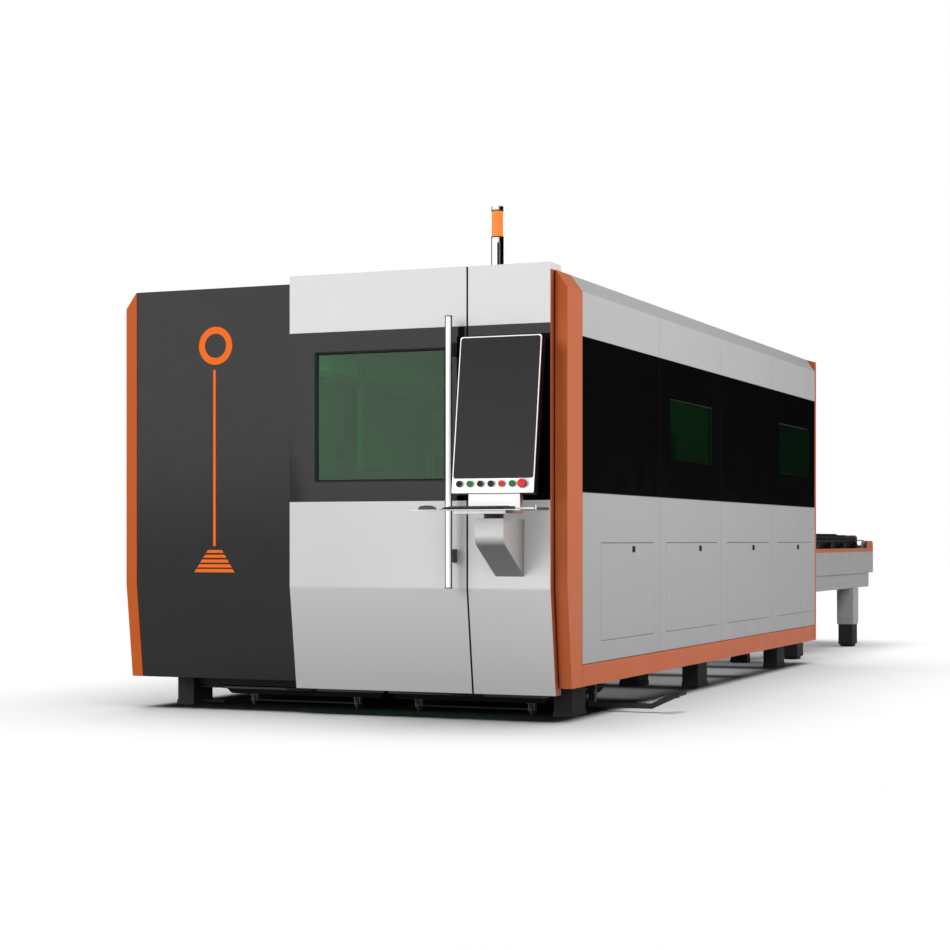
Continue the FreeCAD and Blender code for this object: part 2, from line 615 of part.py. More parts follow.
# -------------------------------------------------------------------- table
def table():
    f = []
    for s in (1, -1):
        a, b = sx(s, 915, 1020)
        f.append(box(a, b, 5395, 8425, 495, 552))
        a, b = sx(s, 996, 1020)
        f.append(box(a, b, 5395, 8425, 545, 805))
        a, b = sx(s, 930, 1000)
        f.append(box(a, b, 5395, 8395, 770, 787))
        for y in (5700, 7680.5):
            a, b = sx(s, 903, 1042)
            f.append(box(a, b, y, y + 209, 189, 495))
            a, b = sx(s, 903, 1020)
            f.append(box(a, b, y, y + 209, 494, 500))
    for y in (5740, 6750, 7750, 8335):
        f.append(box(-920, 920, y, y + 80, 497, 550))
    save("table_frame", butt(f))

    cov = []
    for s in (1, -1):
        a, b = sx(s, TABLE_X - 3, TABLE_X)
        y0, y1 = 5393.0, TABLE_END
        r = 45.0
        pts = [(y0, 620), (y1, 620), (y1, 897), (8240, 897), (8240, 805), (y0, 805)]
        w = px(pts, a, b)
        w = w.makeFillet(r, [e for e in w.Edges if abs(e.CenterOfMass.z - 897) < 1e-6 and
                             e.BoundBox.XLength > 2 and e.BoundBox.YLength < 1e-6 and
                             e.BoundBox.ZLength < 1e-6])
        c, d = sx(s, TABLE_X - 20, TABLE_X - 3)
        w = fuse([w, box(c, d, y0, 8236, 802, 805), box(c, d, y0, y1 - 3, 620, 623)])
        cov.append(w)
        # rounded end housing round the chain
        c, d = sx(s, 991, TABLE_X - 3)
        o = px([(8240, 627), (y1, 627), (y1, 897), (8240, 897)], c, d)
        o = o.makeFillet(r, [e for e in o.Edges if abs(e.CenterOfMass.z - 897) < 1e-6 and
                             e.BoundBox.XLength > 2 and e.BoundBox.YLength < 1e-6 and
                             e.BoundBox.ZLength < 1e-6])
        c, d = sx(s, 994, TABLE_X)
        i = px([(8230, 600), (y1 - 3, 600), (y1 - 3, 894), (8243, 894), (8243, 806),
                (8230, 806)], c, d)
        i = i.makeFillet(r - 3, [e for e in i.Edges if abs(e.CenterOfMass.z - 894) < 1e-6 and
                                 e.BoundBox.XLength > 2 and e.BoundBox.YLength < 1e-6 and
                                 e.BoundBox.ZLength < 1e-6])
        o = o.cut(i).cut(box(*sx(s, 985, 1030), 8230, 8427, 600, 806))
        o = o.cut(cyl(-1100, SHAFT_Y, 700, 18, 2200, (1, 0, 0)))
        cov.append(o)
        # coloured strip along the top edge
        st = [box(*sx(s, TABLE_X, TABLE_X + 3), y0, 8440, 805, 834),
              box(*sx(s, TABLE_X - 22, TABLE_X), y0, 8239, 805, 834)]
        cov.append(fuse(st))
    cov.append(box(-990.5, 990.5, TABLE_END - 3, TABLE_END, 495, 860))
    save("table_covers", cov)

    dr = [cyl(-1036, SHAFT_Y, 700, 15, 2072, (1, 0, 0))]
    r = SPROCKET
    for s in (1, -1):
        x = 1023.5 if s > 0 else -1034.5
        for yy in (5460, SHAFT_Y):
            sp = cyl(x, yy, 700, r, 11, (1, 0, 0))
            if yy > 8000:
                sp = sp.cut(cyl(x - 5, yy, 700, 15, 30, (1, 0, 0)))
            dr.append(sp)
        out = fuse([box(x, x + 11, 5460, SHAFT_Y, 700 - r - 7, 700 + r + 7),
                    cyl(x, 5460, 700, r + 7, 11, (1, 0, 0)),
                    cyl(x, SHAFT_Y, 700, r + 7, 11, (1, 0, 0))])
        inn = fuse([box(x - 1, x + 12, 5460, SHAFT_Y, 700 - r - 0.5, 700 + r + 0.5),
                    cyl(x - 1, 5460, 700, r + 0.5, 13, (1, 0, 0)),
                    cyl(x - 1, SHAFT_Y, 700, r + 0.5, 13, (1, 0, 0))])
        dr.append(out.cut(inn))
        # idler stub fixed to the beam
        dr.append(cyl(1020 if s > 0 else -1023.5, 5460, 700, 20, 3.5, (1, 0, 0)))
    gb = fuse([box(190, 330, 8404, 8494, 600, 790), cyl(325, SHAFT_Y, 660, 40, 240, (1, 0, 0))])
    dr.append(gb.cut(cyl(150, SHAFT_Y, 700, 15.0, 450, (1, 0, 0))))
    dr.append(box(200, 300, 8404, 8425, 552, 600))
    save("chain_drive", dr)


def pallet(tag, y0, top):
    y1 = y0 + PALLET_L
    f = []
    for s in (1, -1):
        f.append(box(*sx(s, 832, 925), y0, y1, top - 160, top - 24))
        f.append(box(*sx(s, 790, 832), y0 + 20, y1 - 20, top - 100, top - 84))
        f.append(box(*sx(s, 925, 985), y0 + 20, y1 - 20, top - 63, top - 55))
    for i in range(7):
        y = y0 + i * (PALLET_L - 60) / 6.0
        f.append(box(-832, 832, y, y + 60, top - 160, top - 100))
    frame = butt(f)
    for s in (1, -1):
        for i in range(6):
            y = y0 + 250 + i * (PALLET_L - 500) / 5.0
            x = 925 if s > 0 else -975
            w = cyl(940 if s > 0 else -975, y, top - 117, 37.6, 35, (1, 0, 0))
            a = cyl(925 if s > 0 else -980, y, top - 117, 10, 55, (1, 0, 0))
            frame.append(fuse([w, a]))
    for s in (1, -1):
        # side combs that hold the slats
        frame.append(box(*sx(s, 806, 832), y0 + 22, y1 - 22, top - 84, top - 12))
    save("pallet_%s_frame" % tag, frame)
    slats = []
    n = int((PALLET_L - 90) // SLAT_PITCH)
    teeth = 16
    half = 790.0
    w = 2 * half / teeth
    for k in range(n + 1):
        y = y0 + 45 + k * SLAT_PITCH
        pts = [(-half, top - 84)]
        for j in range(teeth):
            xa = -half + j * w
            pts += [(xa, top - 22), (xa + w / 2, top)]
        pts += [(half, top - 22), (half, top - 84)]
        # slat rests on the cross tubes and the inner ledges
        slats.append(py(pts, y - 2, y + 2))
    save("pallet_%s_slats" % tag, slats)


# ------------------------------------------------------------------- gantry
def gantry():
    y0 = GANTRY_Y
    z1 = BEAM_TOP
    z0 = z1 - 220
    g = [box(-1130, 1130, y0, y0 + 220, z0, z1).cut(
        box(-1131, 1131, y0 + 8, y0 + 212, z0 + 8, z1 - 8))]
    for s in (1, -1):
        e = box(*sx(s, 1062, 1134), y0 - 30, y0 + 250, 1050, z0)
        g.append(e)
        for y in (y0 - 20, y0 + 150):
            b = box(*sx(s, 1067, 1109), y, y + 90, 1004, 1050)
            g.append(b.cut(box(*sx(s, 1077.5, 1098.5), y - 1, y + 91, 1003, 1022.5)))
    for z in (z0 + 28, z1 - 48):
        g.append(box(-1050, 1050, y0 - 20, y0, z, z + 20))
    save("gantry_beam", g)
    c = CARR_X
    pts = [(c - 158, z0 + 10), (c + 158, z0 + 10), (c + 158, 1450), (c + 100, 1524),
           (c + 100, 1700), (c - 100, 1700), (c - 100, 1524), (c - 158, 1450)]
    k = [py(pts, y0 - 150, y0 - 20.5)]
    for z in (z0 + 28, z1 - 48):
        k.append(box(c - 150, c + 150, y0 - 21, y0 - 1, z - 9, z - 0.5))
        k.append(box(c - 150, c + 150, y0 - 21, y0 - 1, z + 20.5, z + 29))
    save("carriage", fuse(k))
    # head: housing, optics tube and nozzle
    hb = box(c - 62, c + 62, y0 - 240, y0 - 151, 1190, 1430)
    hb = fuse([hb, cyl(c, y0 - 196, 1130, 34, 70)])
    cone = Part.makeCone(7, 24, 40, V(c, y0 - 196, 1090), V(0, 0, 1))
    save("cutting_head", [hb, cone])


# -------------------------------------------------------------------- carts
def cart(tag, x0, x1):
    y0, y1 = CART_Y
    def rect(z, k, ins):
        return [(x0 + ins, y0 + k, z), (x1 - ins, y0 + k, z),
                (x1 - ins, y1 - k, z), (x0 + ins, y1 - k, z)]
    out = hexa(rect(64, 40, 34), rect(105, 6, 8))
    inn = hexa(rect(67, 43, 37), rect(110, 9, 11))
    tray = out.cut(inn)
    rim = box(x0, x1, y0, y1, 100, 105).cut(box(x0 + 10, x1 - 10, y0 + 10, y1 - 10, 90, 110))
    parts = [fuse([tray, rim])]
    xs = CART_WHEELS[tag]
    for y in (430.0, 1215.0):
        for x in xs:
            for dx in (-17, 13):
                ear = fuse([box(x + dx, x + dx + 4, y - 16, y + 16, 30, 60),
                            cyl(x + dx, y, 30, 16, 4, (1, 0, 0))])
                parts.append(ear.cut(cyl(x + dx - 1, y, 30, 6.05, 6, (1, 0, 0))))
            parts.append(box(x - 22, x + 22, y - 22, y + 22, 60, 64))
    merged = []
    # forks welded to their plates
    k = 1
    for y in (430.0, 1215.0):
        for x in xs:
            merged.append(fuse([parts[k], parts[k + 1], parts[k + 2]]))
            k += 3
    tr = fuse([parts[0]] + merged)
    save("%s_scrap_cart" % tag, tr)
    for lab, y in (("front", 430.0), ("rear", 1215.0)):
        w = [cyl(xs[0] - 20, y, 30, 6, xs[1] - xs[0] + 40, (1, 0, 0))]
        for x in xs:
            w.append(cyl(x - 11, y, 30, WHEEL_R - 0.3, 22, (1, 0, 0)))
        save("%s_cart_%s_wheels" % (tag, lab), fuse(w))


def service_doors():
    t = SHEET
    for i, (y0, y1, ly) in enumerate(SDOORS):
        z0, z1 = SDOOR_Z0, SDOOR_Z1
        b = box(HALF_W - 18, HALF_W, y0, y1, z0, z1).cut(
            box(HALF_W - 19, HALF_W - t, y0 + t, y1 - t, z0 + t, z1 - t))
        pull = box(HALF_W, HALF_W + 6, ly - PULL / 2, ly + PULL / 2,
                   PULL_Z - PULL / 2, PULL_Z + PULL / 2)
        save("service_door_%d" % (i + 1), [b, pull])


def side_arm():
    """low arm that comes out from under the right side, with a roller grip"""
    hw = 13.0
    ya, yb = 800.0, 838.0
    low = [(1085, 20), (1434, 20), (1572, 84), (1572, 110), (1556, 110), (1428, 46), (1121, 46),
           (1121, 252), (1085, 252)]
    arm = poly([(x, ya, z) for x, z in low], (0, yb - ya, 0))
    arm = fuse([arm, cyl(1566, ya, 97, 18, yb - ya, (0, 1, 0)),
                cyl(1566, ya - 6, 97, 10, 6, (0, 1, 0)),
                cyl(1566, yb, 97, 6, 134, (0, 1, 0)),
                cyl(1566, 968, 97, 9, 4, (0, 1, 0)),
                box(1065, 1138, 786, 852, 244, 252)])
    save("side_arm", arm)
    grip = cyl(1566, yb + 2, 97, 12, 126, (0, 1, 0)).cut(cyl(1566, yb, 97, 6.1, 140, (0, 1, 0)))
    save("side_arm_grip", grip)


side_cladding()
skeleton()
front()
roof_rear()
console()
bed()
table()
pallet("a", PALLET_Y0, UP_LEVEL)
pallet("b", PALLET_Y0 - PALLET_TRAVEL, UP_LEVEL - LEVEL_DROP)
gantry()
for tag, (x0, x1) in CARTS.items():
    cart(tag, x0, x1)
service_doors()
side_arm()
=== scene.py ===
import json
import math

import bmesh
import bpy
from mathutils import Matrix, Vector

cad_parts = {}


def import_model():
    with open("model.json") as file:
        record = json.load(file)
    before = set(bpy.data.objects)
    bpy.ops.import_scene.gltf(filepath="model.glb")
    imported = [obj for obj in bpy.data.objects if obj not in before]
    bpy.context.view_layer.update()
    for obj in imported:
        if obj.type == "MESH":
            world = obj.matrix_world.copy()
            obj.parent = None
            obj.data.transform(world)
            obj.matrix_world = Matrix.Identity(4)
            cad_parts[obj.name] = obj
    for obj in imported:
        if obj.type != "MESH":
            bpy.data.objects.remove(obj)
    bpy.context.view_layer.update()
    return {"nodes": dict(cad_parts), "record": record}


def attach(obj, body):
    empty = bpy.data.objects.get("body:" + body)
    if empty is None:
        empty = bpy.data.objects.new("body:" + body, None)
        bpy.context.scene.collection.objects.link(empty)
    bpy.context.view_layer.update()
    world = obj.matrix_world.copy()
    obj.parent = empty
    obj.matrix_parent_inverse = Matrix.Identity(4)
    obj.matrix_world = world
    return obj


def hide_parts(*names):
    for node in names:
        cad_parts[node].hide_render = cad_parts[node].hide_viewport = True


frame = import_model()
NODES = frame["nodes"]

CX = 162.0           # the drawing's X and Y of the origin, in millimetres
CY = 3991.5


def W(x, y, z):
    """drawing millimetres, X from the body's middle and Y from the front uprights'
    face, to metres"""
    return Vector(((x - CX) / 1000.0, (y - CY) / 1000.0, z / 1000.0))


def wx(x):
    return (x - CX) / 1000.0


def wy(y):
    return (y - CY) / 1000.0


# --------------------------------------------------------------------------
# node material helpers
# --------------------------------------------------------------------------
class Mat:
    def __init__(self, name):
        self.m = bpy.data.materials.new(name)
        self.m.use_nodes = True
        self.nt = self.m.node_tree
        self.nt.nodes.clear()
        self.out = self.nt.nodes.new("ShaderNodeOutputMaterial")
        self.b = self.nt.nodes.new("ShaderNodeBsdfPrincipled")
        self.nt.links.new(self.b.outputs["BSDF"], self.out.inputs["Surface"])
        self.tc = self.nt.nodes.new("ShaderNodeTexCoord")
        self.pos = self.tc.outputs["Object"]
        self._xyz = None

    def node(self, kind, **props):
        n = self.nt.nodes.new(kind)
        for k, v in props.items():
            setattr(n, k, v)
        return n

    def link(self, a, b):
        self.nt.links.new(a, b)

    def put(self, socket, value):
        if isinstance(value, bpy.types.NodeSocket):
            self.link(value, socket)
        elif isinstance(value, (tuple, list)) and len(value) == 3 and socket.type == "RGBA":
            socket.default_value = (*value, 1.0)
        else:
            socket.default_value = value

    def mapped(self, scale=(1, 1, 1), loc=(0, 0, 0), rot=(0, 0, 0)):
        n = self.node("ShaderNodeMapping")
        n.inputs["Scale"].default_value = scale
        n.inputs["Location"].default_value = loc
        n.inputs["Rotation"].default_value = rot
        self.link(self.pos, n.inputs["Vector"])
        return n.outputs["Vector"]

    def noise(self, scale, detail=3.0, rough=0.5, vec=None, distort=0.0):
        n = self.node("ShaderNodeTexNoise")
        n.inputs["Scale"].default_value = scale
        n.inputs["Detail"].default_value = detail
        n.inputs["Roughness"].default_value = rough
        n.inputs["Distortion"].default_value = distort
        self.link(vec or self.pos, n.inputs["Vector"])
        return n.outputs["Fac"]

    def voronoi(self, scale, vec=None, feature="F1", out="Distance"):
        n = self.node("ShaderNodeTexVoronoi", feature=feature)
        n.inputs["Scale"].default_value = scale
        self.link(vec or self.pos, n.inputs["Vector"])
        return n.outputs[out]

    def wave(self, scale, vec=None, axis="X", distort=0.0):
        n = self.node("ShaderNodeTexWave", bands_direction=axis)
        n.inputs["Scale"].default_value = scale
        n.inputs["Distortion"].default_value = distort
        self.link(vec or self.pos, n.inputs["Vector"])
        return n.outputs["Fac"]

    def math(self, op, a, b=0.5, c=None, clamp=False):
        n = self.node("ShaderNodeMath", operation=op, use_clamp=clamp)
        self.put(n.inputs[0], a)
        self.put(n.inputs[1], b)
        if c is not None:
            self.put(n.inputs[2], c)
        return n.outputs[0]

    def remap(self, v, a, b, c, d, smooth=False):
        n = self.node("ShaderNodeMapRange",
                      interpolation_type="SMOOTHSTEP" if smooth else "LINEAR")
        n.clamp = True
        self.put(n.inputs["Value"], v)
        for k, x in (("From Min", a), ("From Max", b), ("To Min", c), ("To Max", d)):
            n.inputs[k].default_value = x
        return n.outputs["Result"]

    def mix(self, fac, a, b, mode="MIX"):
        n = self.node("ShaderNodeMix", data_type="RGBA", blend_type=mode)
        n.clamp_factor = True
        self.put(n.inputs[0], fac)
        self.put(n.inputs[6], a)
        self.put(n.inputs[7], b)
        return n.outputs[2]

    def xyz(self):
        if self._xyz is None:
            n = self.node("ShaderNodeSeparateXYZ")
            self.link(self.pos, n.inputs[0])
            self._xyz = n.outputs
        return self._xyz

    def side_on(self):
        """1 on faces that look left or right, 0 on those that look to the front"""
        n = self.node("ShaderNodeSeparateXYZ")
        self.link(self.tc.outputs["Normal"], n.inputs[0])
        return self.remap(self.math("ABSOLUTE", n.outputs[0]), 0.35, 0.75, 0.0, 1.0)

    def normal(self):
        n = self.node("ShaderNodeSeparateXYZ")
        self.link(self.tc.outputs["Normal"], n.inputs[0])
        return n.outputs

    def between(self, v, lo, hi):
        return self.math("MULTIPLY", self.math("GREATER_THAN", v, lo),
                         self.math("LESS_THAN", v, hi))

    def bump(self, height, strength=0.1, dist=0.001, normal=None):
        n = self.node("ShaderNodeBump")
        n.inputs["Strength"].default_value = strength
        n.inputs["Distance"].default_value = dist
        self.link(height, n.inputs["Height"])
        if normal is not None:
            self.link(normal, n.inputs["Normal"])
        self.link(n.outputs["Normal"], self.b.inputs["Normal"])
        return n.outputs["Normal"]

    def set(self, **kw):
        for k, v in kw.items():
            self.put(self.b.inputs[k.replace("_", " ")], v)


def srgb(r, g, b):
    def f(c):
        c /= 255.0
        return c / 12.92 if c <= 0.04045 else ((c + 0.055) / 1.055) ** 2.4
    return (f(r), f(g), f(b))


def scaled(c, k):
    return tuple(min(1.0, v * k) for v in c)


MATS = {}


def paint(name, color, rough=0.38, var=0.03, peel=0.06, coat=0.0, spec=0.5, metal=0.0,
          zone=None):
    """powder coat: slow shade drift, fine speckle, orange peel; zone(m, col) may
    repaint parts of it by place"""
    m = Mat(name)
    m.dull = None
    drift = m.noise(1.7, 3.0, 0.55)
    speck = m.noise(520.0, 1.0, 0.5)
    col = m.mix(m.remap(drift, 0.3, 0.7, 0, 1), scaled(color, 1 - var), scaled(color, 1 + var))
    col = m.mix(m.remap(speck, 0.35, 0.65, 0.0, 0.35), col, scaled(color, 1 - 2.2 * var))
    if zone:
        col = zone(m, col)
    m.set(Base_Color=col)
    m.b.inputs["Metallic"].default_value = metal
    m.b.inputs["Specular IOR Level"].default_value = spec
    if m.dull is not None:
        m.link(m.remap(m.dull, 0.0, 1.0, spec, 0.03), m.b.inputs["Specular IOR Level"])
    m.link(m.remap(m.noise(7.0, 4.0, 0.6), 0.3, 0.7, rough - 0.04, rough + 0.05),
           m.b.inputs["Roughness"])
    if coat:
        m.b.inputs["Coat Weight"].default_value = coat
        m.b.inputs["Coat Roughness"].default_value = 0.08
    grain = m.math("ADD", m.noise(330.0, 2.0, 0.5),
                   m.math("MULTIPLY", m.noise(1100.0, 1.0, 0.5), 0.35))
    m.bump(grain, peel, 0.0006)
    MATS[name] = m.m
    return m.m


# the front's dark field is painted on the door and the right panel by height
BAND_LO, BAND_HI = 1.098, 1.966
WHITE = srgb(226, 226, 226)
FIELD = (0.0075, 0.0075, 0.0078)


def front_zone(window):
    def zone(m, col):
        x, y, z = m.xyz()[0], m.xyz()[1], m.xyz()[2]
        face = m.math("LESS_THAN", y, wy(-44.0))
        if window:
            inx = m.between(x, wx(-109), wx(631))
            inz = m.between(z, 1.193, 1.869)
            iny = m.math("LESS_THAN", y, wy(-18.0))
            face = m.math("MAXIMUM", face, m.math("MULTIPLY", iny, m.math("MULTIPLY", inx, inz)))
        fac = m.math("MULTIPLY", face, m.between(z, BAND_LO, BAND_HI))
        # painted light and shade: above 1.5 m the white is painted lighter, below it darker towards the
        # door's left
        lower = m.mix(m.remap(x, wx(0), wx(560), 0.0, 1.0), scaled(WHITE, 0.92), scaled(WHITE, 1.01))
        col = m.mix(m.math("LESS_THAN", z, 1.5), m.mix(0.5, col, scaled(WHITE, 1.14)), lower)
        # painted shade: below the kink at 0.66 m the sloping foot is painted darker, darkest at the bottom
        low = m.remap(z, 0.655, 0.668, 1.0, 0.0)
        foot = m.remap(z, 0.18, 0.66, 0.62, 0.76)
        slope = m.mix(foot, (0.0, 0.0, 0.0), WHITE)
        col = m.mix(low, col, slope)
        # painted reflection: the window recess's edge faces in the dark field are painted a lighter grey,
        # the brightness the field's gloss reflects
        rim = m.math("MULTIPLY", m.math("MULTIPLY", m.between(x, wx(-105), wx(627)),
                                        m.between(z, 1.197, 1.865)),
                     m.math("GREATER_THAN", y, wy(-44.6))) if window else 0.0
        m._band = fac
        field = m.mix(rim, FIELD, (0.050, 0.050, 0.051)) if window else FIELD
        # painted shadow: right of the handle and round the console the dark field is painted near black, as
        # shade cast by the console
        lee = m.math("MULTIPLY", m.math("GREATER_THAN", x, wx(690)), m.math("LESS_THAN", z, 1.915))
        m._lee = m.math("MULTIPLY", lee, fac)
        field = m.mix(lee, field, (0.0003, 0.0003, 0.0003))
        col = m.mix(fac, col, field)
        joint = m.math("MULTIPLY", m.between(x, wx(742.0), wx(752.0)),
                       m.math("GREATER_THAN", m.math("ABSOLUTE", m.normal()[0]), 0.5))
        col = m.mix(joint, col, (0.010, 0.010, 0.010))
        if not window:
            # painted reflection: the right return carries the orange of the uprights beside it, painted into
            # its white
            ret = m.math("MULTIPLY", m.math("GREATER_THAN", m.normal()[0], 0.5),
                         m.math("MULTIPLY", m.math("LESS_THAN", z, 2.228),
                                m.math("GREATER_THAN", x, wx(1186))))
            col = m.mix(ret, col, (0.43, 0.105, 0.042))
        return col
    return zone


def front_paint(name, window):
    m = Mat(name)
    drift = m.noise(1.7, 3.0, 0.55)
    speck = m.noise(520.0, 1.0, 0.5)
    col = m.mix(m.remap(drift, 0.3, 0.7, 0, 1), scaled(WHITE, 0.975), scaled(WHITE, 1.02))
    col = m.mix(m.remap(speck, 0.35, 0.65, 0.0, 0.35), col, scaled(WHITE, 0.94))
    col = front_zone(window)(m, col)
    m.set(Base_Color=col)
    base = m.remap(m.noise(7.0, 4.0, 0.6), 0.3, 0.7, 0.36, 0.46)
    gloss = m.remap(m.noise(9.0, 3.0, 0.6), 0.3, 0.7, 0.10, 0.15)
    n = m.node("ShaderNodeMix", data_type="FLOAT")
    m.link(m._band, n.inputs[0])
    m.link(base, n.inputs[2])
    m.link(gloss, n.inputs[3])
    m.link(n.outputs[0], m.b.inputs["Roughness"])
    # the painted console shadow also cuts back the field's gloss
    m.link(m.math("SUBTRACT", 0.5, m.math("MULTIPLY", m._lee, 0.45)),
           m.b.inputs["Specular IOR Level"])
    grain = m.math("ADD", m.noise(330.0, 2.0, 0.5),
                   m.math("MULTIPLY", m.noise(1100.0, 1.0, 0.5), 0.35))
    grain = m.math("MULTIPLY", grain, m.math("SUBTRACT", 1.0, m.math("MULTIPLY", m._band, 0.8)))
    m.bump(grain, 0.05, 0.0006)
    MATS[name] = m.m
    return m.m


def metal(name, color, rough=0.3, stretch=(1, 1, 1), grain=0.25, var=0.06, scale=160.0):
    m = Mat(name)
    vec = m.mapped(scale=stretch)
    g = m.noise(scale, 4.0, 0.65, vec)
    blot = m.noise(6.0, 4.0, 0.6)
    col = m.mix(m.remap(g, 0.3, 0.7, 0, 1), scaled(color, 1 - var), scaled(color, 1 + var))
    col = m.mix(m.remap(blot, 0.35, 0.7, 0, 0.5), col, scaled(color, 1 - 2.5 * var))
    m.set(Base_Color=col, Metallic=1.0)
    m.link(m.remap(g, 0.25, 0.75, rough - 0.07, rough + 0.09), m.b.inputs["Roughness"])
    m.bump(g, grain, 0.0003)
    MATS[name] = m.m
    return m.m


def plastic(name, color, rough=0.35, grain=0.12, scale=700.0, var=0.04, spec=0.5):
    m = Mat(name)
    g = m.noise(scale, 2.0, 0.5)
    b = m.noise(14.0, 3.0, 0.5)
    col = m.mix(m.remap(b, 0.3, 0.7, 0, 1), scaled(color, 1 - var), scaled(color, 1 + var))
    col = m.mix(m.remap(g, 0.4, 0.7, 0, 0.4), col, scaled(color, 1 + 2.0 * var))
    m.set(Base_Color=col)
    m.b.inputs["Specular IOR Level"].default_value = spec
    m.link(m.remap(g, 0.3, 0.7, rough - 0.04, rough + 0.06), m.b.inputs["Roughness"])
    m.bump(g, grain, 0.0002)
    MATS[name] = m.m
    return m.m


def glass(name, tint, skin, share, rough=0.04, ior=1.5, spec=0.5):
    """thin tinted sheet: what is behind shows through it in its tint, with a dark
    glossy face on top"""
    m = Mat(name)
    cloud = m.noise(2.6, 2.0, 0.5)
    col = m.mix(m.remap(cloud, 0.3, 0.7, 0, 1), scaled(skin, 0.9), scaled(skin, 1.1))
    m.set(Base_Color=col)
    m.link(m.remap(m.noise(40.0, 3.0, 0.6), 0.3, 0.7, rough, rough + 0.03),
           m.b.inputs["Roughness"])
    m.b.inputs["IOR"].default_value = ior
    m.b.inputs["Specular IOR Level"].default_value = spec
    t = m.node("ShaderNodeBsdfTransparent")
    tc = m.mix(m.remap(cloud, 0.3, 0.7, 0, 1), scaled(tint, 0.96), scaled(tint, 1.04))
    m.link(tc, t.inputs["Color"])
    mx = m.node("ShaderNodeMixShader")
    mx.inputs[0].default_value = share
    m.link(t.outputs[0], mx.inputs[1])
    m.link(m.b.outputs[0], mx.inputs[2])
    m.link(mx.outputs[0], m.out.inputs["Surface"])
    MATS[name] = m.m
    return m.m


# --------------------------------------------------------------------------
# materials of the carried-over nodes
# --------------------------------------------------------------------------
ORANGE = (0.575, 0.108, 0.0105)
# the orange with a painted sheen, as the lit side faces show it; also the rear panel's colour
ORANGE_SIDE = (0.640, 0.185, 0.088)
SIDE = srgb(200, 200, 200)


def orange_zone(m, col):
    """painted light and shade: the right upright's front is painted darker low down and under the hood, the
    side faces lighter and chalkier as a painted sheen
    """
    x, y, z = m.xyz()[0], m.xyz()[1], m.xyz()[2]
    right = m.mix(m.remap(z, 0.75, 1.15, 0.0, 1.0), (0.43, 0.096, 0.024), (0.66, 0.160, 0.036))
    right = m.mix(m.remap(z, 1.55, 2.10, 0.0, 1.0), right, scaled(ORANGE, 0.76))
    col = m.mix(m.math("GREATER_THAN", x, 0.0), col, right)
    flank = m.mix(m.remap(z, 0.25, 1.25, 0.0, 1.0), (0.60, 0.140, 0.048), ORANGE_SIDE)
    col = m.mix(m.side_on(), col, flank)
    # dust settles towards the foot of the uprights and rails
    grime = m.math("MULTIPLY", m.remap(z, 0.165, 0.42, 1.0, 0.0, True),
                   m.remap(m.noise(5.0, 5.0, 0.65), 0.42, 0.72, 0.0, 0.20))
    return m.mix(grime, col, scaled(ORANGE_SIDE, 0.84))


def seam_shade(m, col, base):
    """a slightly darker roll along the panels' joints"""
    y = m.xyz()[1]
    near = None
    for q in (1503.0, 2767.0, 4037.0):
        d = m.math("ABSOLUTE", m.math("SUBTRACT", y, wy(q)))
        f = m.remap(d, 0.006, 0.013, 0.55, 0.0)
        near = f if near is None else m.math("MAXIMUM", near, f)
    return m.mix(near, col, scaled(base, 0.84))


def upper_zone(m, col):
    col = seam_shade(m, col, SIDE)
    # painted shade: faces that tilt upwards, like the roof chamfer, are painted darker
    nz = m.normal()[2]
    return m.mix(m.between(nz, 0.3, 0.9), col, scaled(SIDE, 0.88))


def lower_zone(m, col):
    z = m.xyz()[2]
    # painted shade: the lower panels' colour is a darker copy of the side colour, darker still towards the
    # bottom
    col = seam_shade(m, col, scaled(SIDE, 0.86))
    col = m.mix(m.remap(z, 0.28, 1.10, 1.0, 0.0), col, scaled(SIDE, 0.73))
    grime = m.math("MULTIPLY", m.remap(z, 0.28, 0.50, 1.0, 0.0, True),
                   m.remap(m.noise(7.0, 5.0, 0.65), 0.45, 0.75, 0.0, 0.30))
    return m.mix(grime, col, scaled(SIDE, 0.62))


def neck_zone(m, col):
    """the pivot's bushing under the console is black; the sides carry a painted reflection of the orange
    uprights, painted darker towards the tray above as painted shade"""
    z = m.xyz()[2]
    side = m.mix(m.remap(z, 1.046, 1.115, 0.0, 1.0), (0.42, 0.30, 0.28), (0.09, 0.022, 0.020))
    side = m.mix(m.math("LESS_THAN", z, 1.0435), side, (0.33, 0.175, 0.145))
    col = m.mix(m.math("GREATER_THAN", m.normal()[0], 0.6), col, side)
    return m.mix(m.math("LESS_THAN", z, 1.02785), col, (0.010, 0.010, 0.0105))


def housing_zone(m, col):
    """only the front shell is white, the deeper part belongs to the black back"""
    y, z = m.xyz()[1], m.xyz()[2]
    a = math.atan2(115.0, 768.0)
    depth = m.math("SUBTRACT",
                   m.math("MULTIPLY", m.math("SUBTRACT", y, wy(-273)), math.cos(a)),
                   m.math("MULTIPLY", m.math("SUBTRACT", z, 1.130), math.sin(a)))
    # painted shade: the right-facing sides of the white front shell are painted a darker reddish grey, with
    # a painted reflection of the orange uprights
    edge = m.math("MULTIPLY", m.math("GREATER_THAN", m.normal()[0], 0.6),
                  m.math("GREATER_THAN", depth, 0.0))
    col = m.mix(edge, col, (0.40, 0.27, 0.24))
    collar = m.math("LESS_THAN", depth, -0.0006)
    col = m.mix(collar, col, (0.020, 0.030, 0.024))
    m.dull = m.math("GREATER_THAN", depth, 0.0055)
    return m.mix(m.dull, col, (0.0015, 0.0015, 0.0016))


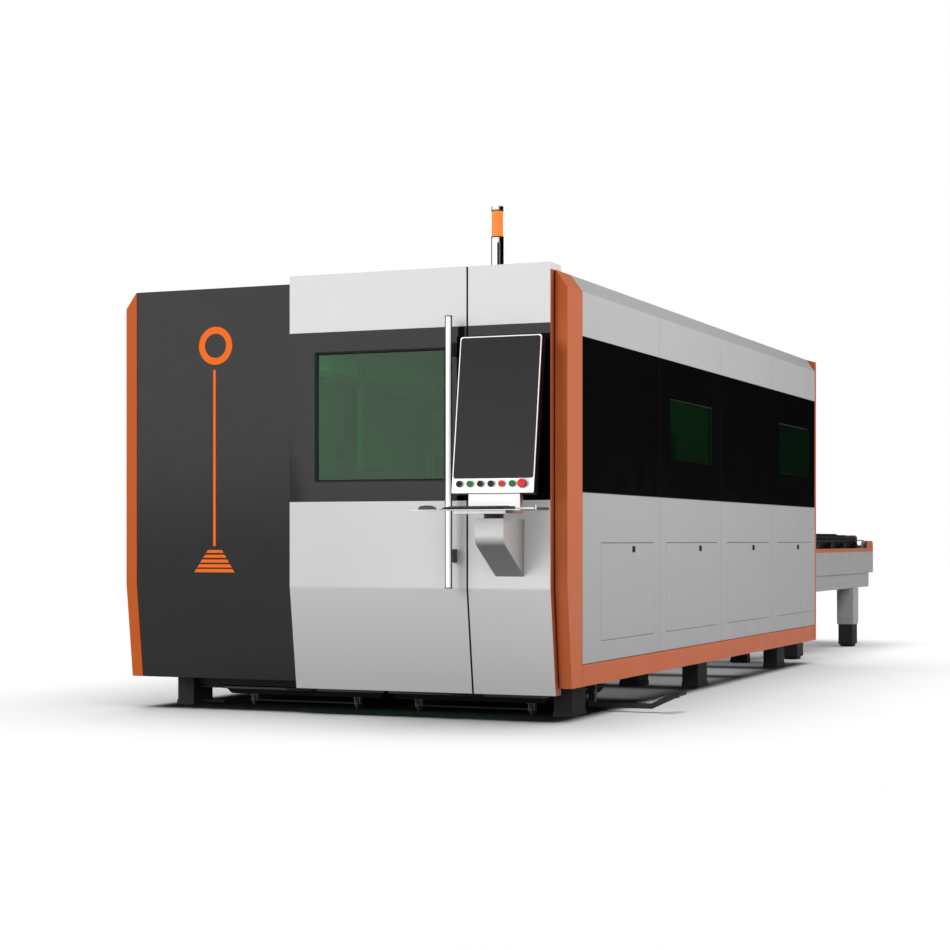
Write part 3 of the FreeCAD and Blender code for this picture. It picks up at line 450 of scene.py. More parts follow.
def tray_zone(m, col):
    """painted shade: the tray's top is painted a shade darker than its edge and its underside dark; the
    right end and lip a dark reddish brown, painted shade with a painted reflection of the uprights
    """
    n = m.normal()
    col = m.mix(m.remap(n[2], 0.6, 0.9, 0.0, 1.0), col, (0.33, 0.33, 0.333))
    col = m.mix(m.remap(n[2], -0.9, -0.6, 1.0, 0.0), col, (0.045, 0.040, 0.038))
    end = m.math("MULTIPLY", m.math("GREATER_THAN", n[0], 0.6),
                 m.math("GREATER_THAN", m.xyz()[1], wy(-503.5)))
    far = m.math("MULTIPLY", m.math("GREATER_THAN", m.xyz()[0], wx(1216)),
                 m.math("LESS_THAN", n[1], -0.5))
    return m.mix(m.math("MAXIMUM", end, far), col, (0.10, 0.052, 0.045))


def cover_zone(m, col):
    z = m.xyz()[2]
    # painted light: the cover's sloping foot below the kink at 0.66 m is painted a touch lighter
    return m.mix(m.remap(z, 0.655, 0.668, 1.0, 0.0), col, (0.0085, 0.0085, 0.0088))


def table_zone(m, col):
    """the covers' upper edge strip is orange"""
    x, z = m.math("ABSOLUTE", m.math("ADD", m.xyz()[0], CX / 1000.0)), m.xyz()[2]
    on = m.math("MULTIPLY", m.math("GREATER_THAN", x, 1.0435), m.math("GREATER_THAN", z, 0.8045))
    return m.mix(on, col, (0.585, 0.150, 0.060))


def bracket_zone(m, col):
    x, y, z = m.xyz()[0], m.xyz()[1], m.xyz()[2]
    nz = m.normal()[2]
    # painted shade: downward-facing faces painted darker; the side faces a warm grey darkening towards the
    # back, painted shade with a painted reflection of the orange uprights
    tone = m.mix(m.remap(nz, -0.80, -0.10, 0.0, 1.0), scaled(WHITE, 0.27), scaled(WHITE, 1.0))
    side = m.mix(m.remap(y, wy(-320), wy(-60), 0.0, 1.0), (0.50, 0.472, 0.456), (0.27, 0.257, 0.248))
    return m.mix(m.side_on(), tone, side)


front_paint("door_white", True)
front_paint("panel_white_front", False)
paint("panel_white", WHITE, 0.40, 0.02)
paint("bracket_white", WHITE, 0.40, 0.02, zone=bracket_zone)
paint("console_white", (0.96, 0.96, 0.96), 0.34, 0.012, 0.04)
paint("console_tray", (0.96, 0.96, 0.96), 0.34, 0.012, 0.04, zone=tray_zone)
paint("side_light", SIDE, 0.42, 0.02)
paint("side_upper", SIDE, 0.42, 0.02, zone=upper_zone)
# painted shade: the lower side panels take a darker copy of the side colour
paint("side_lower", scaled(SIDE, 0.86), 0.42, 0.02, zone=lower_zone)
paint("trim_orange", ORANGE, 0.40, 0.02, spec=0.28, zone=orange_zone)
paint("cover_dark", (0.0070, 0.0070, 0.0073), 0.16, 0.06, 0.02, zone=cover_zone)
paint("band_gloss", (0.004, 0.004, 0.0042), 0.11, 0.05, 0.012)
paint("frame_paint", (0.19, 0.19, 0.195), 0.45, 0.04)
paint("bed_paint", (0.028, 0.028, 0.029), 0.6, 0.08, 0.10, spec=0.2)
paint("foot_steel", (0.030, 0.030, 0.031), 0.6, 0.12, 0.12, spec=0.2)
paint("table_grey", srgb(178, 178, 178), 0.42, 0.025)
paint("table_sheet", srgb(178, 178, 178), 0.42, 0.025, zone=table_zone)
paint("rear_paint", ORANGE_SIDE, 0.38, 0.03)
paint("neck_white", (0.96, 0.96, 0.96), 0.34, 0.012, 0.04, zone=neck_zone)
paint("housing_white", (0.96, 0.96, 0.96), 0.34, 0.012, 0.04, zone=housing_zone)
paint("gantry_paint", (0.26, 0.26, 0.27), 0.40, 0.04)
paint("pallet_black", (0.012, 0.012, 0.0125), 0.55, 0.15, 0.14)
paint("cart_paint", (0.020, 0.020, 0.021), 0.45, 0.10, 0.10)
paint("drive_steel", (0.12, 0.12, 0.125), 0.42, 0.08)


def tube_zone(m, col):
    """painted reflection and shade on the tube: a broad bright front between dark flanks, and the faces
    turned away dark, all set by the surface's facing in object space
    """
    n = m.normal()
    s = m.math("ADD", m.math("MULTIPLY", n[0], 0.918), m.math("MULTIPLY", n[1], 0.397))
    out = m.math("LESS_THAN", m.math("SUBTRACT", m.math("MULTIPLY", n[0], 0.397),
                                     m.math("MULTIPLY", n[1], 0.918)), 0.0)
    left = m.remap(s, -0.80, -0.66, 1.0, 0.0, True)
    right = m.remap(s, 0.50, 0.74, 0.0, 1.0, True)
    dark = m.math("MAXIMUM", m.math("MAXIMUM", left, right), out)
    return m.mix(dark, col, (0.035, 0.035, 0.036))


paint("handle_metal", (0.98, 0.98, 0.98), 0.22, 0.006, 0.01, spec=0.35, zone=tube_zone)
paint("sleeve_black", (0.010, 0.004, 0.004), 0.35, 0.06, 0.03)
# painted shade: a darker copy of the red cap's colour for the mushroom's side
plastic("stop_side", (0.16, 0.012, 0.010), 0.45)
metal("sleeve_chrome", (0.30, 0.40, 0.34), 0.22, (1, 1, 0.3), 0.03, 0.04)
paint("bracket_grey", (0.060, 0.060, 0.062), 0.40, 0.06, 0.04)
metal("bright_steel", (0.56, 0.56, 0.57), 0.26, (1, 0.04, 1))
metal("tower_chrome", (0.78, 0.78, 0.79), 0.12, (1, 1, 0.2), 0.05, 0.02)
metal("galvanised", (0.52, 0.53, 0.54), 0.42, (1, 1, 1), 0.2, 0.10, 60.0)
metal("head_metal", (0.62, 0.62, 0.64), 0.30, (1, 1, 0.1))
plastic("tower_lens", srgb(255, 128, 40), 0.22, 0.05)
MATS["tower_lens"].node_tree.nodes["Principled BSDF"].inputs["Emission Color"].default_value = (
    1.0, 0.25, 0.045, 1.0)
MATS["tower_lens"].node_tree.nodes["Principled BSDF"].inputs["Emission Strength"].default_value = 0.30
plastic("screen_black", (0.010, 0.010, 0.0105), 0.13, 0.01, 900.0)
plastic("black_plastic", (0.014, 0.014, 0.015), 0.42)
plastic("grey_plastic", (0.10, 0.10, 0.105), 0.40)
plastic("green_plastic", srgb(30, 120, 58), 0.30)
plastic("red_plastic", srgb(232, 34, 34), 0.28)
plastic("wheel_nylon", (0.045, 0.045, 0.047), 0.38)
plastic("grip_grey", (0.035, 0.035, 0.037), 0.50)
paint("accent_orange", (1.0, 0.168, 0.004), 0.42, 0.02, 0.02, spec=0.25)
paint("back_black", (0.010, 0.010, 0.0105), 0.5, 0.08, 0.06, spec=0.3)
paint("cap_dark", (0.022, 0.022, 0.024), 0.30, 0.08, 0.03)
paint("tow_black", (0.014, 0.014, 0.015), 0.45, 0.10, 0.05)
paint("cart_rim", (0.060, 0.060, 0.062), 0.40, 0.10, 0.05)
paint("drive_blue", (0.10, 0.11, 0.13), 0.40, 0.06, 0.05)
paint("stop_orange", ORANGE, 0.40, 0.04)
paint("head_white", srgb(232, 232, 232), 0.32, 0.015)
plastic("seal_rubber", (0.016, 0.016, 0.0165), 0.62, 0.25, 420.0, 0.08, 0.3)
plastic("seal_black", (0.0025, 0.0025, 0.0026), 0.75, 0.15, 420.0, 0.08, 0.08)
plastic("latch_black", (0.006, 0.006, 0.0062), 0.40)
plastic("key_dark", (0.030, 0.030, 0.032), 0.48, 0.16, 900.0)
plastic("lamp_glow", (0.90, 0.92, 0.94), 0.5)
MATS["lamp_glow"].node_tree.nodes["Principled BSDF"].inputs["Emission Color"].default_value = (
    0.95, 0.98, 1.0, 1.0)
MATS["lamp_glow"].node_tree.nodes["Principled BSDF"].inputs["Emission Strength"].default_value = 1.2
metal("zinc", (0.50, 0.51, 0.52), 0.32, (1, 1, 1), 0.10, 0.06, 220.0)
metal("chain_steel", (0.20, 0.195, 0.19), 0.40, (1, 1, 1), 0.15, 0.10, 120.0)
metal("slat_clip", (0.16, 0.155, 0.15), 0.50, (1, 1, 1), 0.25, 0.14, 90.0)
metal("brass", (0.72, 0.42, 0.20), 0.25, (1, 1, 1), 0.08, 0.06, 200.0)
glass("door_glass", (0.15, 0.95, 0.36), (0.008, 0.050, 0.020), 0.42, ior=1.6, spec=0.92)
glass("side_glass", (0.08, 0.28, 0.13), (0.004, 0.016, 0.009), 0.55)

SLOTS = {s["node"]: s["material_slot"] for s in frame["record"]["subparts"]}
OWN = {
    "door_panel": "door_white", "right_front_panel": "panel_white_front",
    "console_housing": "housing_white", "console_neck": "neck_white",
    "console_tray": "console_tray", "console_bracket": "bracket_white",
    "lower_side_panels": "side_lower", "upper_side_panels": "side_upper", "service_door_1": "side_lower",
    "service_door_2": "side_lower", "service_door_3": "side_lower",
    "service_door_4": "side_lower", "table_covers": "table_sheet",
    "door_window": "door_glass", "side_windows": "side_glass",
}


def dress(node):
    o = NODES[node]
    mat = MATS[OWN.get(node, SLOTS[node])]
    o.data.materials.clear()
    o.data.materials.append(mat)
    return o


for n in NODES:
    dress(n)


def smooth_group():
    """faces smooth, edges sharper than 32 degrees kept"""
    g = bpy.data.node_groups.new("smooth_by_angle", "GeometryNodeTree")
    g.interface.new_socket("Geometry", in_out="INPUT", socket_type="NodeSocketGeometry")
    g.interface.new_socket("Geometry", in_out="OUTPUT", socket_type="NodeSocketGeometry")
    i = g.nodes.new("NodeGroupInput")
    o = g.nodes.new("NodeGroupOutput")
    f = g.nodes.new("GeometryNodeSetShadeSmooth")
    f.domain = "FACE"
    f.inputs["Shade Smooth"].default_value = True
    e = g.nodes.new("GeometryNodeSetShadeSmooth")
    e.domain = "EDGE"
    a = g.nodes.new("GeometryNodeInputMeshEdgeAngle")
    c = g.nodes.new("FunctionNodeCompare")
    c.data_type, c.operation = "FLOAT", "LESS_THAN"
    c.inputs["B"].default_value = math.radians(32)
    g.links.new(a.outputs["Unsigned Angle"], c.inputs["A"])
    g.links.new(c.outputs["Result"], e.inputs["Shade Smooth"])
    g.links.new(i.outputs[0], f.inputs["Geometry"])
    g.links.new(f.outputs[0], e.inputs["Geometry"])
    g.links.new(e.outputs[0], o.inputs[0])
    return g


SMOOTH = smooth_group()


def soften(o, width, seg=2, angle=34):
    """rounds the folded and cut edges a little, so that they catch the light"""
    m = o.modifiers.new("weld", "WELD")
    m.merge_threshold = 2e-6
    m = o.modifiers.new("flat", "DECIMATE")
    m.decimate_type = "DISSOLVE"
    m.angle_limit = math.radians(0.3)
    m = o.modifiers.new("smooth", "NODES")
    m.node_group = SMOOTH
    if width:
        m = o.modifiers.new("edges", "BEVEL")
        m.width = width
        m.segments = seg
        m.limit_method = "ANGLE"
        m.angle_limit = math.radians(angle)
        m.use_clamp_overlap = True
        m.miter_outer = "MITER_SHARP"
        m = o.modifiers.new("even", "WEIGHTED_NORMAL")
        m.keep_sharp = False
        m.mode = "FACE_AREA_WITH_ANGLE"


SOFT = {"door_panel": 0.0016, "right_front_panel": 0.0016, "left_front_cover": 0.0012,
        "front_uprights": 0.003, "bottom_rails": 0.0025, "rear_uprights": 0.003,
        "upper_side_panels": 0.0012, "lower_side_panels": 0.0012, "band_panels": 0.0012,
        "console_housing": 0.0015, "console_neck": 0.0015, "console_tray": 0.0006,
        "console_bracket": 0.002, "bed_frame": 0.002, "leveling_feet": 0.0015,
        "enclosure_frame": 0.003, "roof_panels": 0.0008, "rear_panel": 0.001,
        "table_frame": 0.002, "table_covers": 0.0007, "chain_drive": 0.0008,
        "exhaust_collar": 0.0008, "side_arm": 0.001, "gantry_beam": 0.003,
        "carriage": 0.003, "cutting_head": 0.0015, "pallet_a_frame": 0.0015,
        "pallet_b_frame": 0.0015, "left_scrap_cart": 0.0008, "right_scrap_cart": 0.0008,
        "service_door_1": 0.0007, "service_door_2": 0.0007, "service_door_3": 0.0007,
        "service_door_4": 0.0007, "door_track": 0.0008, "keyboard": 0.0008,
        "pointing_device": 0.001, "pallet_rails": 0.0008, "y_rails_and_racks": 0.0008,
        "tower_base": 0.0005, "tower_lens": 0.0005, "door_handle": 0.0004,
        "emergency_stop": 0.0005}
for n, w in SOFT.items():
    soften(NODES[n], w)


# --------------------------------------------------------------------------
# pieces: closed parts gathered in drawing millimetres
# --------------------------------------------------------------------------
def frame_of(axis):
    a = {"x": (1, 0, 0), "-x": (-1, 0, 0), "y": (0, 1, 0), "-y": (0, -1, 0),
         "z": (0, 0, 1), "-z": (0, 0, -1)}.get(axis, axis) if isinstance(axis, str) else axis
    d = Vector(a).normalized()
    h = Vector((0, 0, 1)) if abs(d.z) < 0.9 else Vector((1, 0, 0))
    u = h.cross(d).normalized()
    return u, d.cross(u).normalized(), d


def rrect(w, h, r, n=5):
    """rounded rectangle round the origin, anticlockwise"""
    pts = []
    for cx, cy, a0 in ((w / 2 - r, h / 2 - r, 0), (-w / 2 + r, h / 2 - r, 90),
                       (-w / 2 + r, -h / 2 + r, 180), (w / 2 - r, -h / 2 + r, 270)):
        for i in range(n + 1):
            a = math.radians(a0 + 90.0 * i / n)
            pts.append((cx + r * math.cos(a), cy + r * math.sin(a)))
    return pts


def ngon(r, n, start=0.0):
    return [(r * math.cos(start + 2 * math.pi * i / n), r * math.sin(start + 2 * math.pi * i / n))
            for i in range(n)]


def inset(loop, c):
    """loop pulled in by c along its corners' bisectors (anticlockwise loops)"""
    out = []
    n = len(loop)
    for i in range(n):
        p, q, r = Vector(loop[i - 1]), Vector(loop[i]), Vector(loop[(i + 1) % n])
        a, b = (q - p).normalized(), (r - q).normalized()
        na, nb = Vector((-a.y, a.x)), Vector((-b.y, b.x))
        m = na + nb
        k = m.length_squared
        m = m * (2.0 / k) if k > 1e-9 else na
        out.append((q.x + m.x * c, q.y + m.y * c))
    return out


class Kit:
    def __init__(self, name, body, mats, slot, replaces=(), bevel=0.0):
        self.name, self.body, self.mats, self.slot = name, body, mats, slot
        self.rep, self.bevel = replaces, bevel
        self.v, self.f, self.mi = [], [], []
        self.M = Matrix()
        self.k = 0

    def use(self, mat):
        if mat not in self.mats:
            self.mats.append(mat)
        self.k = self.mats.index(mat)
        return self

    def add(self, verts, faces):
        n = len(self.v)
        for p in verts:
            self.v.append(self.M @ Vector(p))
        for q in faces:
            self.f.append([n + i for i in q])
            self.mi.append(self.k)

    def box(self, x0, x1, y0, y1, z0, z1, c=1.0):
        x0, x1 = sorted((x0, x1))
        y0, y1 = sorted((y0, y1))
        z0, z1 = sorted((z0, z1))
        c = min(c, 0.42 * min(x1 - x0, y1 - y0, z1 - z0))
        X, Y, Z = (x0, x1), (y0, y1), (z0, z1)
        ci = (c, -c)
        v, idx = [], {}
        for i in (0, 1):
            for j in (0, 1):
                for k in (0, 1):
                    idx[("x", i, j, k)] = len(v); v.append((X[i], Y[j] + ci[j], Z[k] + ci[k]))
                    idx[("y", i, j, k)] = len(v); v.append((X[i] + ci[i], Y[j], Z[k] + ci[k]))
                    idx[("z", i, j, k)] = len(v); v.append((X[i] + ci[i], Y[j] + ci[j], Z[k]))
        f = []
        lp = ((0, 0), (1, 0), (1, 1), (0, 1))
        for i in (0, 1):
            f.append([idx[("x", i, j, k)] for j, k in lp])
            f.append([idx[("y", j, i, k)] for j, k in lp])
            f.append([idx[("z", j, k, i)] for j, k in lp])
        for i in (0, 1):
            for j in (0, 1):
                f.append([idx[("x", i, j, 0)], idx[("x", i, j, 1)],
                          idx[("y", i, j, 1)], idx[("y", i, j, 0)]])
                f.append([idx[("x", i, 0, j)], idx[("x", i, 1, j)],
                          idx[("z", i, 1, j)], idx[("z", i, 0, j)]])
                f.append([idx[("y", 0, i, j)], idx[("y", 1, i, j)],
                          idx[("z", 1, i, j)], idx[("z", 0, i, j)]])
                for k in (0, 1):
                    f.append([idx[("x", i, j, k)], idx[("y", i, j, k)], idx[("z", i, j, k)]])
        self.add(v, f)

    def turn(self, prof, at, axis="z", n=32, loop=False):
        """(radius, height) pairs turned about axis through at"""
        u, w, d = frame_of(axis)
        o = Vector(at)
        v, rings = [], []
        for r, h in prof:
            if r < 1e-6:
                rings.append([len(v)])
                v.append(o + d * h)
            else:
                rings.append(list(range(len(v), len(v) + n)))
                for i in range(n):
                    a = 2 * math.pi * i / n
                    v.append(o + d * h + (u * math.cos(a) + w * math.sin(a)) * r)
        f = []
        pairs = list(zip(rings[:-1], rings[1:]))
        if loop:
            pairs.append((rings[-1], rings[0]))
        for a, b in pairs:
            if len(a) == 1 and len(b) == 1:
                continue
            for i in range(n):
                j = (i + 1) % n
                if len(a) == 1:
                    f.append([a[0], b[i], b[j]])
                elif len(b) == 1:
                    f.append([a[i], a[j], b[0]])
                else:
                    f.append([a[i], a[j], b[j], b[i]])
        if not loop:
            for a in (rings[0], rings[-1]):
                if len(a) > 1:
                    f.append(list(a))
        self.add(v, f)

    def disc(self, at, axis, r, h, c=0.6, n=32):
        self.turn([(r, 0), (r, h - c), (r - c, h)] if c else [(r, 0), (r, h)], at, axis, n)

    def screw(self, at, axis, r=4.0, h=2.6):
        """dome head with a hexagon socket"""
        self.turn([(r, 0), (r * 0.96, h * 0.35), (r * 0.78, h * 0.75), (r * 0.55, h),
                   (r * 0.48, h), (r * 0.44, h * 0.45), (0, h * 0.40)], at, axis, 12)

    def bolt(self, at, axis, r=8.0, h=6.0):
        """hexagon head on a washer"""
        u, w, d = frame_of(axis)
        self.turn([(r * 1.45, 0), (r * 1.45, 1.2), (r * 1.3, 1.6)], at, axis, 20)
        self.slab(ngon(r, 6, 0.4), Vector(at) + d * 1.6, u, w, h, 0.6)

    def rod(self, pts, r, n=12, close=False):
        pts = [Vector(p) for p in pts]
        m = len(pts)
        v, rings = [], []
        up = None
        for i, p in enumerate(pts):
            a = pts[i] - pts[i - 1] if (i or close) else pts[1] - pts[0]
            b = pts[(i + 1) % m] - pts[i] if (i < m - 1 or close) else a
            t = (a.normalized() + b.normalized()).normalized()
            if up is None:
                up, _, _ = frame_of(tuple(t))
            up = (up - t * up.dot(t)).normalized()
            side = t.cross(up)
            k = 1.0 / max(0.5, a.normalized().dot(t))
            rings.append(range(len(v), len(v) + n))
            for j in range(n):
                an = 2 * math.pi * j / n
                v.append(p + (up * math.cos(an) + side * math.sin(an)) * r)
        f = []
        for a, b in list(zip(rings[:-1], rings[1:])) + ([(rings[-1], rings[0])] if close else []):
            for i in range(n):
                j = (i + 1) % n
                f.append([a[i], a[j], b[j], b[i]])
        if not close:
            f += [list(rings[0]), list(rings[-1])]
        self.add(v, f)

    def slab(self, loop, at, u, v, h, c=0.0):
        """loop extruded by h along u x v, its far edge chamfered by c"""
        u, v, o = Vector(u), Vector(v), Vector(at)
        d = u.cross(v).normalized()
        rows = [(loop, 0.0)]
        if c:
            rows += [(loop, h - c), (inset(loop, c), h)]
        else:
            rows += [(loop, h)]
        vs, f, n = [], [], len(loop)
        for lp, z in rows:
            for a, b in lp:
                vs.append(o + u * a + v * b + d * z)
        for k in range(len(rows) - 1):
            for i in range(n):
                j = (i + 1) % n
                f.append([k * n + i, k * n + j, (k + 1) * n + j, (k + 1) * n + i])
        f.append(list(range(n)))
        f.append(list(range((len(rows) - 1) * n, len(rows) * n)))
        self.add(vs, f)

    def band(self, outer, inner, at, u, v, h, c=0.0):
        """frame between two loops with as many points, extruded by h"""
        u, v, o = Vector(u), Vector(v), Vector(at)
        d = u.cross(v).normalized()
        n = len(outer)
        rows = [(inner, 0.0), (outer, 0.0), (outer, h - c)]
        if c:
            rows += [(inset(outer, c), h), (inset(inner, -c), h), (inner, h - c)]
        else:
            rows += [(inner, h)]
        vs, f = [], []
        for lp, z in rows:
            for a, b in lp:
                vs.append(o + u * a + v * b + d * z)
        m = len(rows)
        for k in range(m):
            k2 = (k + 1) % m
            for i in range(n):
                j = (i + 1) % n
                f.append([k * n + i, k * n + j, k2 * n + j, k2 * n + i])
        self.add(vs, f)

    def done(self):
        me = bpy.data.meshes.new(self.name)
        me.from_pydata([W(*p) for p in self.v], [], self.f)
        for m in self.mats:
            me.materials.append(MATS[m])
        for p, k in zip(me.polygons, self.mi):
            p.material_index = k
        bm = bmesh.new()
        bm.from_mesh(me)
        bmesh.ops.recalc_face_normals(bm, faces=bm.faces[:])
        bm.to_mesh(me)
        bm.free()
        o = bpy.data.objects.new(self.name, me)
        bpy.context.scene.collection.objects.link(o)
        if self.bevel:
            b = o.modifiers.new("edges", "BEVEL")
            b.width, b.segments = self.bevel / 1000.0, 2
            b.limit_method, b.angle_limit = "ANGLE", math.radians(34)
        s = o.modifiers.new("smooth", "NODES")
        s.node_group = SMOOTH
        if self.rep:
            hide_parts(*self.rep)
        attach(o, self.body)
        return o


def rect(x0, x1, y0, y1):
    return [(x0, y0), (x1, y0), (x1, y1), (x0, y1)]


EX, EY, EZ = Vector((1, 0, 0)), Vector((0, 1, 0)), Vector((0, 0, 1))


# --------------------------------------------------------------------------
# front
# --------------------------------------------------------------------------
def cover_marks():
    k = Kit("cover_marks", "machine", ["accent_orange"], "trim_orange")
    k.turn([(64, 0), (100, 0), (100, 0.5), (64, 0.5)], (-711, 0.05, 1926), "-y", 72, True)
    k.box(-725, -710, -0.45, 0.05, 871, 1799, 0.1)
    n = 5
    for i in range(n):
        def half(z):
            t = (850.0 - z) / 121.0
            return -714.5 - 3.5 * t, 42.5 + 81.5 * t
        z1 = 850.0 - i * 25.0
        z0 = z1 - 15.0 - i * 0.6
        (c1, h1), (c0, h0) = half(z1), half(z0)
        k.slab([(c0 - h0, z0), (c0 + h0, z0), (c1 + h1, z1), (c1 - h1, z1)],
               (0, 0.05, 0), EX, EZ, 0.5)
    k.done()


def door_parts():
    k = Kit("window_seal", "door", ["seal_black"], "black_plastic")
    cx, cz, w, h = 261.0, 1531.0, 712.0, 648.0
    k.band(rrect(w - 0.6, h - 0.6, 3), rrect(w - 7, h - 7, 3), (cx, -23.0, cz), EX, EZ, 2.4, 1.0)
    # inner frame that clamps the pane
    k.use("door_white")
    k.band(rrect(w + 34, h + 34, 6), rrect(w - 10, h - 10, 6), (cx, -16.9 + 3.0, cz),
           EX, EZ, 3.0, 0.8)
    k.use("zinc")
    for i in range(6):
        for z in (cz - h / 2 - 8, cz + h / 2 + 8):
            k.screw((cx - 290 + i * 116, -13.9, z), "y", 4.2, 2.6)
    for i in range(5):
        for x in (cx - w / 2 - 8, cx + w / 2 + 8):
            k.screw((x, -13.9, cz - 232 + i * 116), "y", 4.2, 2.6)
    k.done()

    k = Kit("grab_handle", "door", ["handle_metal"], "handle_metal", ["door_handle"])
    x, y = 681.0, -126.0
    k.turn([(15.5, 0), (17.6, 0.4), (18, 1.0), (18, 1337.0), (17.6, 1337.6), (15.5, 1338.0)],
           (x, y, 668), "z", 48)
    k.use("cap_dark")
    for z, a in ((668.5, "-z"), (2005.5, "z")):
        k.turn([(16.5, 0), (19.6, 0.2), (20, 0.8), (20, 4.6), (19, 5.4), (7, 5.4), (6, 4.8), (0, 4.8)],
               (x, y, z), a, 40)
    k.use("bracket_grey")
    for z in (824, 1849):
        k.box(x - 12, x + 12, y + 12, -45, z - 33.5, z + 33.5, 2.5)
    k.done()

    # ribs on the door's inner face
    k = Kit("door_ribs", "door", ["door_white"], "panel_white")
    for z in (760, 1040, 2020):
        k.box(-240, 736, -41.9, -22, z - 22, z + 22, 2.0)
    for x in (-190, 250, 690):
        k.box(x - 20, x + 20, -41.9, -24, 785, 1015, 2.0)
    for x in (-190, 690):
        k.box(x - 16, x + 16, -41.9, -24, 1065, 1998, 2.0)
    k.use("zinc")
    for z in (760, 1040, 2020):
        for x in (-215, -20, 175, 370, 565, 715):
            k.screw((x, -22, z), "y", 4.5, 2.8)
    k.done()


# --------------------------------------------------------------------------
# console
# --------------------------------------------------------------------------
LEAN = math.atan2(115.0, 768.0)
LEANT = Matrix.Translation((973.0, -273.0, 1130.0)) @ Matrix.Rotation(-LEAN, 4, "X")
BTN = (-171.0, -116.0, -61.0, -6.0, 49.0, 104.0)


def console_parts():
    k = Kit("screen_glass", "console", ["screen_black"], "screen_black", ["console_screen"])
    k.M = LEANT
    k.slab(rrect(415, 699.6, 12, 8), (0, -0.02, 420.8), EX, EZ, 3.38, 0.6)
    k.slab(rrect(403, 690, 8, 6), (0, 4.9, 420.0), EX, EZ, 4.9)
    k.done()

    k = Kit("button_rings", "console", ["sleeve_chrome"], "tower_chrome")
    k.M = LEANT
    for x in BTN:
        # turned sleeve round each button's collar
        k.turn([(14.55, 0.2), (16.0, 0.2), (16.0, 1.2), (15.3, 1.8), (15.1, 10.6), (14.9, 10.9),
                (14.55, 10.9)], (x, 0, 43), "-y", 36, True)
    k.use("sleeve_black")
    k.turn([(17.05, 0.2), (20.4, 0.3), (20.4, 1.8), (19.6, 3.6), (17.05, 3.9)],
           (157, 0, 43), "-y", 48, True)
    for x, c in zip(BTN, ("black_plastic", "green_plastic", "black_plastic", "black_plastic",
                          "red_plastic", "green_plastic")):
        # bezel that each cap sits in
        k.use(c)
        k.turn([(13.55, 10.95), (15.5, 10.95), (15.6, 11.5), (15.4, 14.6), (14.8, 15.2), (14.0, 15.2),
                (13.55, 14.7)], (x, 0, 43), "-y", 40, True)
    k.done()

    # caps: a domed lens on each button, a fluted rim on the mushroom
    for name, x in zip(("button_black_left", "button_green_left", "button_black_centre",
                        "button_black_right", "button_red", "button_green_right"), BTN):
        c = name.split("_")[1]
        mat = {"black": "black_plastic", "green": "green_plastic", "red": "red_plastic"}[c]
        k = Kit(name + "_cap", name, [mat], mat)
        k.M = LEANT
        k.turn([(11.9, 14.9), (11.9, 15.2), (11.2, 15.9), (9.8, 16.1), (9.4, 15.6), (5.0, 15.45),
                (0, 15.4)], (x, 0, 43), "-y", 36)
        k.done()
    k = Kit("stop_rim", "emergency_stop", ["red_plastic"], "red_plastic")
    k.M = LEANT
    loop = []
    for i in range(72):
        a = 2 * math.pi * i / 72
        r = 21.9 if i % 3 else 21.2
        loop.append((r * math.cos(a), r * math.sin(a)))
    # the mushroom's fluted side in the darker painted-shade red
    k.use("stop_side")
    k.band(loop, ngon(21.05, 72), (157, -10.2, 43), EX, EZ, 11.6, 0.3)
    k.use("red_plastic")
    k.turn([(14, 23.9), (14, 24.2), (12.5, 24.7), (0, 24.9)], (157, 0, 43), "-y", 40)
    k.done()

    # rear cover with its vents and screws
    k = Kit("console_back", "console", ["back_black"], "black_plastic")
    k.M = LEANT
    k.slab(rrect(405, 530, 16, 6), (0, 55, 495), -EX, EZ, 5.0, 1.6)
    k.slab(rrect(330, 400, 12, 6), (0, 60, 520), -EX, EZ, 9.0, 3.0)
    for i in range(14):
        z = 600 + i * 9.0
        for s in (-1, 1):
            k.box(s * 78 - 62, s * 78 + 62, 68.9, 71.2, z, z + 3.6, 0.9)
    k.use("zinc")
    for x in (-185, 185):
        for z in (248, 410, 580, 742):
            k.screw((x, 60, z), "y", 4.6, 3.0)
    k.done()

    # pivot: collar rings and screws
    k = Kit("pivot_collar", "console", ["black_plastic"], "black_plastic")
    k.turn([(47.05, 0.3), (49.5, 1.2), (49.5, 5.2), (47.05, 6.6)], (975, -257, 1006.2), "z", 48, True)
    k.turn([(47.05, 14.0), (49.0, 14.8), (49.0, 19.0), (47.05, 20.6)], (975, -257, 1006.2), "z", 48, True)
    k.use("zinc")
    for a in range(6):
        t = math.radians(30 + 60 * a)
        k.screw((975 + 34 * math.cos(t), -257 + 34 * math.sin(t), 1043), "z", 4.4, 2.8)
    k.done()

    # screws of the bracket
    k = Kit("bracket_bolts", "machine", ["zinc"], "bright_steel")
    for x in (921, 1029):
        for y in (-80, -300):
            k.screw((x, y, 1006), "z", 5.0, 3.0)
    k.done()

    keyboard()
    mouse()

    k = Kit("tray_edge", "console", ["console_white"], "panel_white")
    k.rod([(658.5, -520.5, 1044.5), (1216, -520.5, 1044.5)], 1.45, 10)
    k.use("seal_rubber")
    k.box(796, 1141, -362, -358, 1046, 1049.5, 0.8)
    k.box(796, 800, -505, -362, 1046, 1048.5, 0.8)
    k.box(1137, 1141, -505, -362, 1046, 1048.5, 0.8)
    k.done()


